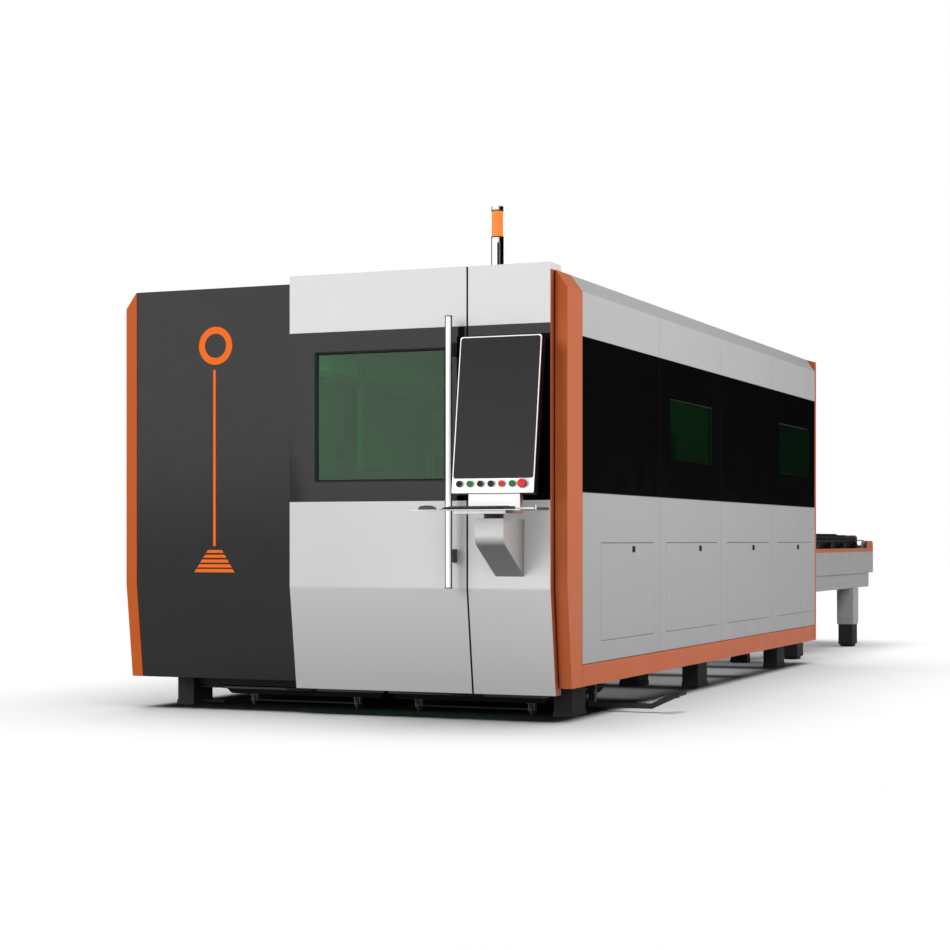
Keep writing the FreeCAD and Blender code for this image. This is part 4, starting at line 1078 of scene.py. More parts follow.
def key(k, x0, x1, y0, y1, z0, z1, t=1.6, dish=0.5):
    """one tapered cap with a dished top"""
    xa, xb, ya, yb = x0 + t, x1 - t, y0 + t, y1 - t * 0.6
    g = 1.0
    v = [(x0, y0, z0), (x1, y0, z0), (x1, y1, z0), (x0, y1, z0),
         (xa, ya, z1), (xb, ya, z1), (xb, yb, z1), (xa, yb, z1),
         (xa + g, ya + g, z1 - dish * 0.4), (xb - g, ya + g, z1 - dish * 0.4),
         (xb - g, yb - g, z1 - dish * 0.4), (xa + g, yb - g, z1 - dish * 0.4),
         ((xa + xb) / 2, (ya + yb) / 2, z1 - dish)]
    f = [(0, 1, 2, 3), (0, 1, 5, 4), (1, 2, 6, 5), (2, 3, 7, 6), (3, 0, 4, 7),
         (4, 5, 9, 8), (5, 6, 10, 9), (6, 7, 11, 10), (7, 4, 8, 11),
         (8, 9, 12), (9, 10, 12), (10, 11, 12), (11, 8, 12)]
    k.add(v, f)


def keyboard():
    k = Kit("keyboard_set", "console", ["black_plastic"], "black_plastic", ["keyboard"])
    x0, x1 = 808.0, 1129.0
    prof = [(-500, 1046), (-366, 1046), (-366, 1062.0), (-369, 1063.4), (-497, 1053.2),
            (-500, 1051.2)]
    v = [(x0, y, z) for y, z in prof] + [(x1, y, z) for y, z in prof]
    n = len(prof)
    f = [list(range(n)), list(range(n, 2 * n))]
    f += [[i, (i + 1) % n, n + (i + 1) % n, n + i] for i in range(n)]
    k.add(v, f)
    k.use("key_dark")
    a = math.atan2(10.2, 128.0)
    base = Matrix.Translation((x0 + 4.5, -496.0, 1053.3)) @ Matrix.Rotation(a, 4, "X")
    k.M = base
    u = 17.95
    rows = [[(1.5,), (1.25,), (1.25,), (6.0,), (1.25,), (1.25,), (0.25, 0), (1,), (1,), (1,)],
            [(2.25,)] + [(1,)] * 10 + [(1.75,), (1.25, 0), (1,)],
            [(1.75,)] + [(1,)] * 11 + [(1.25,)],
            [(1.5,)] + [(1,)] * 11 + [(1.5,), (0.25, 0)] + [(1,)] * 3,
            [(1,)] * 12 + [(2,), (0.25, 0)] + [(1,)] * 3,
            [(1,), (0.5, 0)] + [(1,)] * 4 + [(0.25, 0)] + [(1,)] * 4 + [(0.25, 0)] + [(1,)] * 4 +
            [(0.25, 0)] + [(1,)] * 2]
    y = 0.0
    for r, row in enumerate(rows):
        x = 0.0
        h = 17.6
        if r == 5:
            y += 5.0
        for item in row:
            w = item[0] * u
            if x + w > 312.6:
                w = 312.6 - x
            if len(item) == 1 and w > 9:
                key(k, x + 0.7, x + w - 0.7, y + 0.7, y + h - 0.7, -0.2, 3.4)
            x += item[0] * u
            if x > 305:
                break
        y += h + 1.0 if r < 4 else h
    k.M = Matrix()
    k.done()


def mouse():
    k = Kit("pointer_unit", "console", ["grey_plastic"], "grey_plastic", ["pointing_device"])
    x, y0, y1 = 699.0, -486.0, -366.0
    m, n = 20, 28
    v = []
    rings = []
    for i in range(m + 1):
        t = i / m
        s = math.sin(math.pi * min(1.0, max(0.0, t)))
        wide = 36.8 * (max(0.0, 1 - abs(2 * t - 1) ** 3.2)) ** 0.42 * (0.93 + 0.07 * t)
        high = (6.0 + 15.8 * math.sin(math.pi * (0.12 + 0.80 * t)) ** 0.8) * \
            (max(0.0, 1 - abs(2 * t - 1) ** 4.0)) ** 0.35
        y = y0 + (y1 - y0) * t
        if wide < 1.0:
            rings.append([len(v)])
            v.append((x, y, 1046.6 + high * 0.3))
            continue
        ring = []
        for j in range(n):
            a = 2 * math.pi * j / n
            c, sn = math.cos(a), math.sin(a)
            px = math.copysign(abs(c) ** 0.62, c) * wide
            if sn >= 0:
                pz = 1047.0 + 4.0 + (high - 4.5) * abs(sn) ** 0.9
            else:
                pz = 1051.0 - 4.2 * abs(sn) ** 0.4
            if sn > 0.9 and t < 0.42:      # groove between the two buttons
                pz -= 0.7
            ring.append(len(v))
            v.append((x + px, y, pz))
        rings.append(ring)
    f = []
    for a, b in zip(rings[:-1], rings[1:]):
        for j in range(n):
            j2 = (j + 1) % n
            if len(a) == 1:
                f.append([a[0], b[j], b[j2]])
            elif len(b) == 1:
                f.append([a[j], a[j2], b[0]])
            else:
                f.append([a[j], a[j2], b[j2], b[j]])
    k.add(v, f)
    k.use("black_plastic")
    k.turn([(0, 0), (7.5, 0), (8.5, 0.8), (8.5, 5.2), (7.5, 6.0), (0, 6.0)], (x - 3, -460, 1057.0), "x", 24)
    k.box(x - 33, x + 33, -478, -374, 1046, 1047.4, 0.4)
    k.done()


# --------------------------------------------------------------------------
# sides, roof, rear
# --------------------------------------------------------------------------
SEAMS = (1503.0, 2767.0, 4037.0)


def side_parts():
    k = Kit("side_window_seals", "machine", ["seal_black"], "black_plastic")
    for a, b in ((1707.0, 2558.0), (4244.0, 5100.0)):
        w, h = b - a - 0.6, 344.4
        k.band(rrect(w, h, 4), rrect(w - 10, h - 10, 5), (1257.05, (a + b) / 2, 1530.5),
               EY, EZ, 1.6, 0.7)
    k.done()
    for i, y in enumerate((1033.0, 2306.0, 3539.0, 4773.0)):
        k = Kit("latch_%d" % (i + 1), "service_door_%d" % (i + 1), ["latch_black"], "black_plastic")
        k.slab(rrect(33, 33, 7, 6), (1260.02, y, 854), EY, EZ, 7.2, 1.6)
        k.slab(rrect(22, 17, 4), (1267.0, y, 850.5), EY, EZ, 1.3, 0.6)
        k.use("zinc")
        k.turn([(4.2, 0), (4.2, 0.8), (3.6, 1.2), (1.0, 1.2), (1.0, 0.2), (0, 0.2)],
               (1267.1, y, 864.0), "x", 20)
        k.use("side_lower")
        y0, y1 = ((503, 1399), (1629, 2674), (2904, 3950), (4200, 5216))[i]
        # stiffener and hinge leaves behind the sheet
        k.box(1243, 1256.9, y0 + 60, y1 - 60, 600, 640, 1.5)
        for yy in (y0 + 120, y1 - 120):
            k.box(1244, 1256.9, yy - 30, yy + 30, 392, 440, 1.2)
        k.done()


def roof_parts():
    k = Kit("roof_strips", "machine", ["side_light"], "side_light")
    for y in SEAMS:
        k.box(-1160, 1160, y - 24, y + 24, 2228, 2231, 0.8)
    for x in (-600, 600):
        for y0, y1 in ((140, 1460), (1550, 2725), (2810, 3990), (4080, 4660)):
            if x > 0 or y1 < 4500:
                k.box(x - 30, x + 30, y0 + 40, y1 - 30, 2228, 2229.6, 0.5)
    k.use("zinc")
    for y in SEAMS:
        for i in range(12):
            for dy in (-14, 14):
                k.screw((-1133 + i * 206, y + dy, 2231), "z", 5.0, 2.8)
    for s in (-1, 1):
        for i in range(18):
            y = 170 + i * 300
            if min(abs(y - q) for q in SEAMS) > 40:
                k.screw((s * 1148, y, 2228), "z", 5.0, 2.8)
    for i in range(12):
        k.screw((-1133 + i * 206, 5335, 2228), "z", 5.0, 2.8)
    k.done()

    k = Kit("duct_fittings", "machine", ["zinc"], "galvanised")
    cx, cy = -700.0, 4900.0
    for i in range(5):
        for a, b in ((-155, -155 + i * 77.5), (155, -155 + i * 77.5)):
            k.bolt((cx + a, cy + b, 2232), "z", 6.0, 4.5)
            if 0 < i < 4:
                k.bolt((cx + b, cy + a, 2232), "z", 6.0, 4.5)
    for z in (2262, 2300):
        k.turn([(128, -5), (130.2, -3), (131, 0), (130.2, 3), (128, 5)], (cx, cy, z), "z", 64, True)
    for r in (40, 80, 112):
        pts = [(cx + r * math.cos(t), cy + r * math.sin(t), 2252)
               for t in [2 * math.pi * i / 40 for i in range(40)]]
        k.rod(pts, 2.2, 8, True)
    for i in range(6):
        t = math.pi * i / 6
        k.rod([(cx - 124.6 * math.cos(t), cy - 124.6 * math.sin(t), 2248 - 0.01 * i),
               (cx + 124.6 * math.cos(t), cy + 124.6 * math.sin(t), 2248 - 0.01 * i)], 2.4, 8)
    k.done()

    k = Kit("tower_parts", "machine", ["black_plastic"], "tower_chrome")
    x, y = 745.0, 360.0
    k.M = (Matrix.Translation((x, y, 0)) @ Matrix.Rotation(math.radians(32), 4, "Z") @
           Matrix.Translation((-x, -y, 0)))
    k.box(x - 6.2, x + 6.2, y - 31.6, y - 29.0, 2299, 2432, 0.8)
    k.M = Matrix()
    k.turn([(32.6, -4), (33.4, -3), (33.4, 1.5), (31, 2.5), (29.05, 2.5), (29.05, -4)],
           (x, y, 2463), "z", 48, True)
    k.turn([(29.05, -2.5), (31.05, -2.5), (31.9, -1.5), (31.9, 2.5), (31.05, 3.5), (29.05, 3.5)],
           (x, y, 2598), "z", 48, True)
    k.turn([(45.05, 0.5), (47, 1), (47, 4), (45.05, 5)], (x, y, 2228), "z", 48, True)
    k.use("zinc")
    for i in range(4):
        t = math.radians(45 + 90 * i)
        k.screw((x + 38.5 * math.cos(t), y + 38.5 * math.sin(t), 2234), "z", 3.4, 2.2)
    k.done()

    k = Kit("lens_ribbed", "machine", ["tower_lens"], "tower_lens", ["tower_lens"])
    prof = [(0, 0), (27.5, 0)]
    z = 1.0
    while z < 134.0:
        prof += [(29.0, z), (29.0, z + 2.6), (28.2, z + 3.1), (28.2, z + 4.0)]
        z += 4.5
    prof += [(27.5, 135), (0, 135)]
    k.turn(prof, (x, y, 2463), "z", 48)
    k.done()


def rear_parts():
    k = Kit("opening_trim", "machine", ["seal_rubber"], "black_plastic")
    k.band(rrect(2036, 629, 8), rrect(2022.5, 615.5, 5), (0, 5386.9, 796.5), -EX, EZ, 5.0, 1.8)
    # rubber curtain above the upper pallet
    for i in range(20):
        x = -1000 + i * 100
        k.box(x + 1, x + 99, 5371 + (i % 2) * 3.2, 5373.4 + (i % 2) * 3.2, 1012, 1111, 0.8)
    k.done()
    k = Kit("rear_louvres", "machine", ["rear_paint"], "rear_paint")
    for cx in (-640, 640):
        for j in range(9):
            z = 1420 + j * 44.0
            v = []
            for x in (cx - 170, cx + 170):
                v += [(x, 5387.0, z), (x, 5387.0, z + 30), (x, 5390.0, z + 29.0),
                      (x, 5399.0, z + 3.0), (x, 5398.0, z + 0.5)]
            f = [[0, 1, 2, 3, 4], [5, 6, 7, 8, 9]]
            f += [[i, (i + 1) % 5, 5 + (i + 1) % 5, 5 + i] for i in range(5)]
            k.add(v, f)
    # stiffening frame and a cable entry plate
    k.band(rrect(560, 260, 8), rrect(500, 200, 6), (0, 5387, 1700), -EX, EZ, 4.0, 1.2)
    k.box(-249, 249, 5386.9, 5388.6, 1601, 1799, 0.6)
    k.use("zinc")
    for i in range(6):
        for z in (1585, 1815):
            k.screw((-250 + i * 100, 5391, z), "y", 4.6, 3.0)
    for i in range(13):
        x = -1164 + i * 194
        for z in (310, 2205):
            k.screw((x, 5387, z), "y", 5.0, 3.0)
    for i in range(9):
        z = 420 + i * 205
        for s in (-1, 1):
            k.screw((s * 1172, 5387, z), "y", 5.0, 3.0)
    for i in range(11):
        k.screw((-1000 + i * 200, 5387, 1140), "y", 5.0, 3.0)
    k.use("black_plastic")
    for x in (-180, -108, -36, 36, 108, 180):
        for z in (1655, 1745):
            k.turn([(19, 0), (19, 8), (17, 9.5), (17, 20), (14, 24), (9.5, 26), (0, 26)],
                   (x, 5388.6, z), "y", 24)
    k.done()


def cabin_parts():
    """lamps under the roof bars"""
    k = Kit("cabin_lamps", "machine", ["side_light", "lamp_glow"], "side_light")
    for y in (1503.0, 2767.0, 4037.0):
        k.use("side_light")
        k.box(-520, 520, y - 34, y + 34, 2150, 2180, 3.0)
        k.use("lamp_glow")
        k.box(-505, 505, y - 26, y + 26, 2143, 2150.5, 3.0)
        k.use("black_plastic")
        for s in (-1, 1):
            k.box(s * 520, s * 528, y - 35, y + 35, 2142, 2180, 2.0)
    k.done()


# --------------------------------------------------------------------------
# exchange table
# --------------------------------------------------------------------------
def table_parts():
    k = Kit("table_fixings", "machine", ["zinc"], "galvanised")
    for s in (-1, 1):
        for i in range(9):
            y = 5480 + i * 340
            k.screw((s * 1044, y, 645), "x" if s > 0 else "-x", 5.0, 2.8)
            k.screw((s * 1044, y, 782), "x" if s > 0 else "-x", 5.0, 2.8)
        for z in (660, 760, 855):
            k.screw((s * 1044, 8478, z), "x" if s > 0 else "-x", 5.0, 2.8)
        for y in (5700, 7680.5):
            for dx in (-32, 32):
                for z in (230, 455):
                    k.bolt((s * 973 + dx, y + 209, z), "y", 7.0, 5.0)
                    k.bolt((s * 973 + dx, y, z), "-y", 7.0, 5.0)
            # adjusting nut over the round pad
            k.slab(ngon(34, 6, 0.2), (s * 973, y + 104.5, 6), EX, EY, 11.0, 2.0)
    k.done()

    k = Kit("end_plate_ribs", "machine", ["table_grey"], "table_grey")
    for x in (-700, -350, 0, 350, 700):
        k.box(x - 14, x + 14, 8494, 8501.9, 520, 840, 1.5)
    k.done()

    # toothed sprockets and their hubs of the drive, inside the end housings
    k = Kit("drive_detail", "machine", ["chain_steel"], "drive_steel")
    for s in (-1, 1):
        x0 = 1023.5 if s > 0 else -1034.5
        for yy in (5460.0, 8446.0):
            loop = []
            n = 21
            for i in range(n):
                a = 2 * math.pi * i / n
                da = 2 * math.pi / n
                for q, r in ((0.0, 42.2), (0.3, 42.2), (0.42, 47.0), (0.58, 47.0), (0.7, 42.2)):
                    loop.append((r * math.cos(a + q * da), r * math.sin(a + q * da)))
            k.slab(loop, (x0 + 3.5, yy, 700), EY, EZ, 4.0)
            k.turn([(22, 0), (24, 1), (24, 8), (22, 9), (15.1, 9), (15.1, 0)],
                   (x0 + (11 if s < 0 else 0), yy, 700), "x" if s < 0 else "-x", 32, True)
    k.done()

    k = Kit("gearmotor_fins", "machine", ["drive_blue"], "drive_steel")
    for i in range(18):
        x = 345 + i * 9.6
        k.turn([(40.02, 0), (45.5, 0.4), (45.5, 2.6), (40.02, 3.0)], (x, 8446, 660), "x", 40, True)
    k.use("black_plastic")
    k.turn([(40.1, 0), (43.5, 1), (43.5, 34), (40, 38), (0, 38)], (527.5, 8446, 660), "x", 40)
    k.use("drive_blue")
    k.box(392, 462, 8412, 8480, 701, 744, 4.0)
    k.box(388, 466, 8408, 8484, 740, 752, 3.0)
    for y in (8416, 8478):
        for z in (622, 768):
            k.bolt((330, y, z), "x", 5.5, 4.0)
    k.use("zinc")
    for x in (396, 458):
        for y in (8416, 8476):
            k.screw((x, y, 752), "z", 3.6, 2.4)
    k.done()


def pallet_parts():
    for tag, y0, top in (("a", 5410.0, 960.0), ("b", 1530.0, 725.0)):
        k = Kit("pallet_%s_fittings" % tag, "pallet_" + tag, ["zinc"], "drive_steel")
        y1 = y0 + 2990.0
        for s in (-1, 1):
            for i in range(6):
                y = y0 + 250 + i * (2990 - 500) / 5.0
                # hub cap and bearing ring of each running wheel
                x = s * 975.05
                ax = "x" if s > 0 else "-x"
                k.turn([(18, 0), (18, 1.4), (16.5, 2.4), (10.2, 2.4), (10.2, 0)],
                       (x, y, top - 117), ax, 28, True)
                k.turn([(8.8, 0), (8.8, 3.4), (7.0, 4.4), (0, 4.6)], (s * 980, y, top - 117), ax, 20)
            k.use("slat_clip")
            for i in range(40):
                y = y0 + 45 + i * 72.0 + 4.0
                if y < y1 - 40:
                    k.box(s * 792, s * 805.9, y, y + 6, top - 82, top - 30, 1.0)
            k.use("stop_orange")
            for y in (y0 + 34, y1 - 34):
                k.box(s * 840, s * 915, y - 26, y + 26, top - 23.9, top - 14, 2.5)
            k.use("zinc")
        k.done()


# --------------------------------------------------------------------------
# gantry
# --------------------------------------------------------------------------
def gantry_parts():
    y0, z1 = 2142.0, 1331.0
    z0 = z1 - 220
    k = Kit("beam_fittings", "gantry", ["bright_steel"], "bright_steel")
    for z in (z0 + 28, z1 - 48):
        for i in range(18):
            k.turn([(6.0, 0), (6.0, 0.35), (0, 0.35)], (-1020 + i * 120, y0 - 20, z + 10), "-y", 16)
    # rack between the guides
    loop = [(1048.0, 1230.0), (-1048.0, 1230.0)]
    n = 222
    p = 2096.0 / n
    for i in range(n):
        x = -1048.0 + i * p
        loop += [(x + 0.05 * p, 1212), (x + 0.30 * p, 1205), (x + 0.62 * p, 1205), (x + 0.88 * p, 1212)]
    k.slab(loop, (0, y0 - 0.02, 0), EX, EZ, 15.5)
    k.done()

    k = Kit("beam_drives", "gantry", ["black_plastic"], "gantry_paint")
    for s in (-1, 1):
        x = s * 1085.0
        k.use("gantry_paint")
        k.box(x - 48, x + 48, y0 + 60, y0 + 156, z1, z1 + 16, 2.0)
        k.use("zinc")
        k.turn([(40, 0), (40, 34), (38, 36), (38, 52), (34, 56), (0, 56)], (x, y0 + 108, z1 + 16), "z", 36)
        for dx in (-38, 38):
            for dy in (-38, 38):
                k.bolt((x + dx, y0 + 108 + dy, z1 + 16), "z", 5.0, 4.0)
        k.use("black_plastic")
        k.slab(rrect(74, 74, 10), (x, y0 + 108, z1 + 72), EX, EY, 104, 4.0)
        k.slab(rrect(66, 66, 8), (x, y0 + 108, z1 + 176), EX, EY, 22, 3.0)
        k.turn([(11, 0), (11, 20), (9, 24), (6, 26), (0, 26)], (x - s * 33, y0 + 108, z1 + 184),
               "-x" if s > 0 else "x", 20)
    # energy chain in its trough on the beam
    k.use("galvanised")
    k.box(-1010, 1010, y0 + 178, y0 + 218, z1, z1 + 3, 0.8)
    k.box(-1010, 1010, y0 + 215, y0 + 218, z1 + 3, z1 + 34, 0.8)
    k.use("black_plastic")
    for i in range(42):
        x = -1000 + i * 24
        k.box(x, x + 21, y0 + 181, y0 + 213, z1 + 3, z1 + 29, 3.0)
        k.box(x + 17, x + 27, y0 + 184, y0 + 210, z1 + 6, z1 + 26, 1.5)
    k.done()

    c = -250.0
    k = Kit("carriage_parts", "carriage", ["side_light"], "gantry_paint")
    # cover plates and their screws
    f = y0 - 150.0
    k.band(rrect(250, 300, 10), rrect(236, 286, 6), (c, f + 0.05, 1300), EX, EZ, 1.2, 0.4)
    k.slab(rrect(180, 150, 8), (c, f + 0.05, 1610), EX, EZ, 2.5, 0.8)
    k.use("zinc")
    for x in (c - 78, c + 78):
        for z in (1548, 1672):
            k.screw((x, f - 2.4, z), "-y", 4.0, 2.6)
    for x in (c - 138, c + 138):
        for z in (1140, 1260, 1380, 1440):
            k.screw((x, f, z), "-y", 4.0, 2.6)
    # Z motor on top, connector block, chain bracket over the beam
    k.use("zinc")
    k.box(c - 46, c + 46, y0 - 132, y0 - 40, 1700, 1712, 2.0)
    k.use("black_plastic")
    k.slab(rrect(72, 72, 9), (c, y0 - 86, 1712), EX, EY, 110, 4.0)
    k.slab(rrect(64, 64, 8), (c, y0 - 86, 1822), EX, EY, 20, 3.0)
    k.use("galvanised")
    k.box(c + 104, c + 156, y0 - 60, y0 + 200, 1452, 1456, 1.0)
    k.box(c + 104, c + 156, y0 + 196, y0 + 200, 1364, 1453, 1.0)
    for i in range(3):
        k.turn([(9, 0), (9, 10), (8, 12), (8, 22), (6, 25), (0, 25)], (c - 60 + i * 30, y0 - 20.5, 1640),
               "y", 20)
    k.done()

    k = Kit("cutting_head_unit", "head", ["head_white"], "head_metal", ["cutting_head"])
    y = y0 - 196.0
    k.slab(rrect(124, 88, 10, 6), (c, y + 0.5, 1232), EX, EY, 198, 4.0)
    k.use("head_metal")
    k.slab(rrect(110, 84, 8, 6), (c, y + 0.5, 1214), EX, EY, 18.2)
    k.use("black_plastic")
    k.slab(rrect(124, 88, 10, 6), (c, y + 0.5, 1192), EX, EY, 22.0, 2.0)
    k.slab(rrect(60, 14, 3), (c, y - 44.5, 1203), EX, EZ, 5.0, 1.4)
    k.slab(rrect(84, 120, 6), (c, y - 43.6, 1350), EX, EZ, 1.8, 0.7)
    k.use("head_metal")
    prof = [(0, 0), (30, 0), (34, 2)]
    for i in range(11):
        prof += [(34, 4 + i * 2.4), (32.8, 5.2 + i * 2.4)]
    prof += [(34, 31), (32, 33), (32, 62), (0, 62)]
    k.turn(prof, (c, y, 1130), "z", 36)
    k.use("brass")
    k.turn([(0, 0), (3.0, 0), (7, 1.2), (14, 13), (21, 17), (24, 20), (24, 31), (22.5, 33), (0, 33)],
           (c, y, 1090), "z", 36)
    k.use("console_white")
    k.turn([(0, 0), (22.2, 0), (25, 2), (25, 5), (22.2, 7.1), (0, 7.1)], (c, y, 1123), "z", 36)
    k.use("head_metal")
    k.turn([(26, 0), (26, 14), (22, 18), (22, 46), (19, 50), (12, 52), (12, 60), (0, 60)],
           (c, y, 1430), "z", 32)
    k.use("zinc")
    for x in (c - 48, c + 48):
        for z in (1260, 1330, 1405):
            k.screw((x, y - 43.5, z), "-y", 3.4, 2.2)
    for s in (-1, 1):
        k.turn([(6, 0), (6, 8), (4.6, 9), (4.6, 16), (0, 16)], (c + s * 62, y, 1245), "x" if s > 0 else "-x",
               16)
        k.turn([(6, 0), (6, 8), (4.6, 9), (4.6, 16), (0, 16)], (c + s * 62, y, 1275), "x" if s > 0 else "-x",
               16)
    k.done()


# --------------------------------------------------------------------------
# under the machine
# --------------------------------------------------------------------------
def under_parts():
    for tag, (x0, x1), xs in (("left", (-876.0, 98.0), (-707.0, -85.0)),
                              ("right", (122.0, 1026.0), (273.0, 911.0))):
        for lab, y in (("front", 430.0), ("rear", 1215.0)):
            node = "%s_cart_%s_wheels" % (tag, lab)
            k = Kit(node + "_set", node, ["wheel_nylon"], "wheel_nylon", [node])
            for x in xs:
                k.use("wheel_nylon")
                k.turn([(16.5, 1.5), (26.5, 1.5), (29.0, 3.2), (29.7, 6.5), (29.7, 15.5), (29.0, 18.8),
                        (26.5, 20.5), (16.5, 20.5)], (x - 11, y, 30), "x", 40, True)
                k.use("chain_steel")
                k.turn([(6.05, 0), (10.5, 0), (11.5, 2.4), (16.6, 3.2), (16.6, 18.8), (11.5, 19.6),
                        (10.5, 22), (6.05, 22)], (x - 11, y, 30), "x", 32, True)
            k.use("tow_black")
            k.turn([(0, 0), (5.2, 0), (6, 0.8), (6, xs[1] - xs[0] + 39.2), (5.2, xs[1] - xs[0] + 40),
                    (0, xs[1] - xs[0] + 40)], (xs[0] - 20, y, 30), "x", 20)
            k.done()
        k = Kit(tag + "_cart_fittings", tag + "_cart", ["chain_steel"], "galvanised")
        for y in (430.0, 1215.0):
            for x in xs:
                for dx in (-17, 13):
                    # pressed fork cheeks over the ears
                    k.band(ngon(16.4, 28), ngon(6.3, 28), (x + dx - 0.5, y, 30), EY, EZ, 5.0, 0.4)
                    k.box(x + dx - 0.45, x + dx + 4.45, y - 16.3, y - 9.5, 30, 59.8, 0.8)
                    k.box(x + dx - 0.45, x + dx + 4.45, y + 9.5, y + 16.3, 30, 59.8, 0.8)
                    k.box(x + dx - 0.42, x + dx + 4.42, y - 9.6, y + 9.6, 45.5, 59.8, 0.8)
                k.box(x - 22.4, x + 22.4, y - 22.4, y + 22.4, 59.7, 63.0, 0.8)
                for sgn, ax in ((-1, "-x"), (1, "x")):
                    k.slab(ngon(8.2, 6, 0.3), (x + sgn * 17.6, y, 30), EY * sgn, EZ, 4.2, 0.8)
        # rolled rim and pull bar
        k.use("cart_rim")
        k.box(x0 + 0.3, x1 - 0.3, 364.2, 367.5, 93, 105.3, 0.8)
        k.box(x0 + 0.3, x1 - 0.3, 1297.5, 1300.8, 93, 105.3, 0.8)
        k.use("cart_paint")
        xm = (x0 + x1) / 2
        k.rod([(xm - 80, 366, 98), (xm - 80, 346, 98), (xm - 74, 338, 98), (xm - 64, 334, 98),
               (xm + 64, 334, 98), (xm + 74, 338, 98), (xm + 80, 346, 98), (xm + 80, 366, 98)], 6.0, 14)
        k.done()

    k = Kit("foot_fixings", "machine", ["foot_steel"], "foot_steel")
    # brush strip under the front cross member
    for i in range(56):
        x = -888 + i * 34.0
        k.box(x, x + 33.4, 430, 436, 105.8, 111, 0.5)
    for s in (-1, 1):
        # weld beads where the legs stand on their plates
        for y in (396.0 if s > 0 else 335.0, 2667.0, 4655.0):
            x0, x1 = sorted((s * 1041, s * 1141))
            for a, b in (((x0, y), (x1, y)), ((x1, y), (x1, y + 205)), ((x1, y + 205), (x0, y + 205)),
                         ((x0, y + 205), (x0, y))):
                k.rod([(a[0], a[1], 25.5), (b[0], b[1], 25.5)], 3.2, 8)
        for y in (2560.0, 5135.0):
            x0, x1 = sorted((s * 672, s * 792))
            y1 = y + (205 if y < 5000 else 95)
            for a, b in (((x0, y), (x1, y)), ((x1, y), (x1, y1)), ((x1, y1), (x0, y1)), ((x0, y1), (x0, y))):
                k.rod([(a[0], a[1], 25.5), (b[0], b[1], 25.5)], 3.0, 8)
    k.done()

    k = Kit("arm_fittings", "machine", ["tow_black"], "bright_steel")
    for y in (808, 830):
        for z in (120, 200):
            k.bolt((1121, y, z), "x", 5.5, 4.5)
    k.turn([(0, 0), (9.0, 0), (10, 1.0), (10, 3.0), (0, 3.0)], (1566, 794, 97), "-y", 28)
    k.use("tow_black")
    k.turn([(6.1, 0), (13, 0.6), (13.6, 1.4), (13.0, 1.9), (6.1, 1.9)], (1566, 838, 97), "y", 28, True)
    k.done()
    k = Kit("arm_grip_unit", "side_arm_grip", ["grip_grey"], "grip_grey", ["side_arm_grip"])
    n, m = 30, 57
    v, rings = [], []
    for i in range(m):
        t = i * 126.0 / (m - 1)
        end = min(t, 126.0 - t)
        r0 = 12.0 if end > 2.0 else 10.4 + 0.8 * end
        ring = []
        for j in range(n):
            a = 2 * math.pi * j / n
            r = r0 + (0.35 if (i + j) % 2 else -0.25) * (1 if end > 4 else 0)
            ring.append(len(v))
            v.append((1566 + r * math.cos(a), 840 + t, 97 + r * math.sin(a)))
        rings.append(ring)
    inner = []
    for t in (126.0, 0.0):
        inner.append(list(range(len(v), len(v) + n)))
        for j in range(n):
            a = 2 * math.pi * j / n
            v.append((1566 + 6.2 * math.cos(a), 840 + t, 97 + 6.2 * math.sin(a)))
    rings += inner
    f = []
    for a, b in list(zip(rings[:-1], rings[1:])) + [(rings[-1], rings[0])]:
        for j in range(n):
            j2 = (j + 1) % n
            f.append([a[j], a[j2], b[j2], b[j]])
    k.add(v, f)
    k.done()


cover_marks()
door_parts()
console_parts()
side_parts()
roof_parts()
rear_parts()
cabin_parts()
table_parts()
pallet_parts()
gantry_parts()
under_parts()


# --------------------------------------------------------------------------
# stage, light, camera
# --------------------------------------------------------------------------
def stage():
    me = bpy.data.meshes.new("floor")
    s = 60.0
    me.from_pydata([(-s, -s, 0), (s, -s, 0), (s, s, 0), (-s, s, 0)], [], [(0, 1, 2, 3)])
    floor = bpy.data.objects.new("floor", me)
    floor.location = (0, 0, -0.0005)
    bpy.context.scene.collection.objects.link(floor)
    m = Mat("floor_pale")
    lp = m.node("ShaderNodeLightPath")
    n = m.noise(0.8, 3, 0.5)
    seen = m.mix(m.remap(n, 0.3, 0.7, 0, 1), (0.069, 0.069, 0.069), (0.071, 0.071, 0.071))
    lit = m.mix(m.remap(n, 0.3, 0.7, 0, 1), (0.0220, 0.0220, 0.0220), (0.0228, 0.0228, 0.0228))
    fac = m.math("MAXIMUM", lp.outputs["Is Camera Ray"],
                 m.math("MULTIPLY", lp.outputs["Is Glossy Ray"], 0.45))
    m.set(Base_Color=m.mix(fac, lit, seen))
    m.b.inputs["Roughness"].default_value = 0.9
    m.b.inputs["Specular IOR Level"].default_value = 0.0
    me.materials.append(m.m)
    return floor


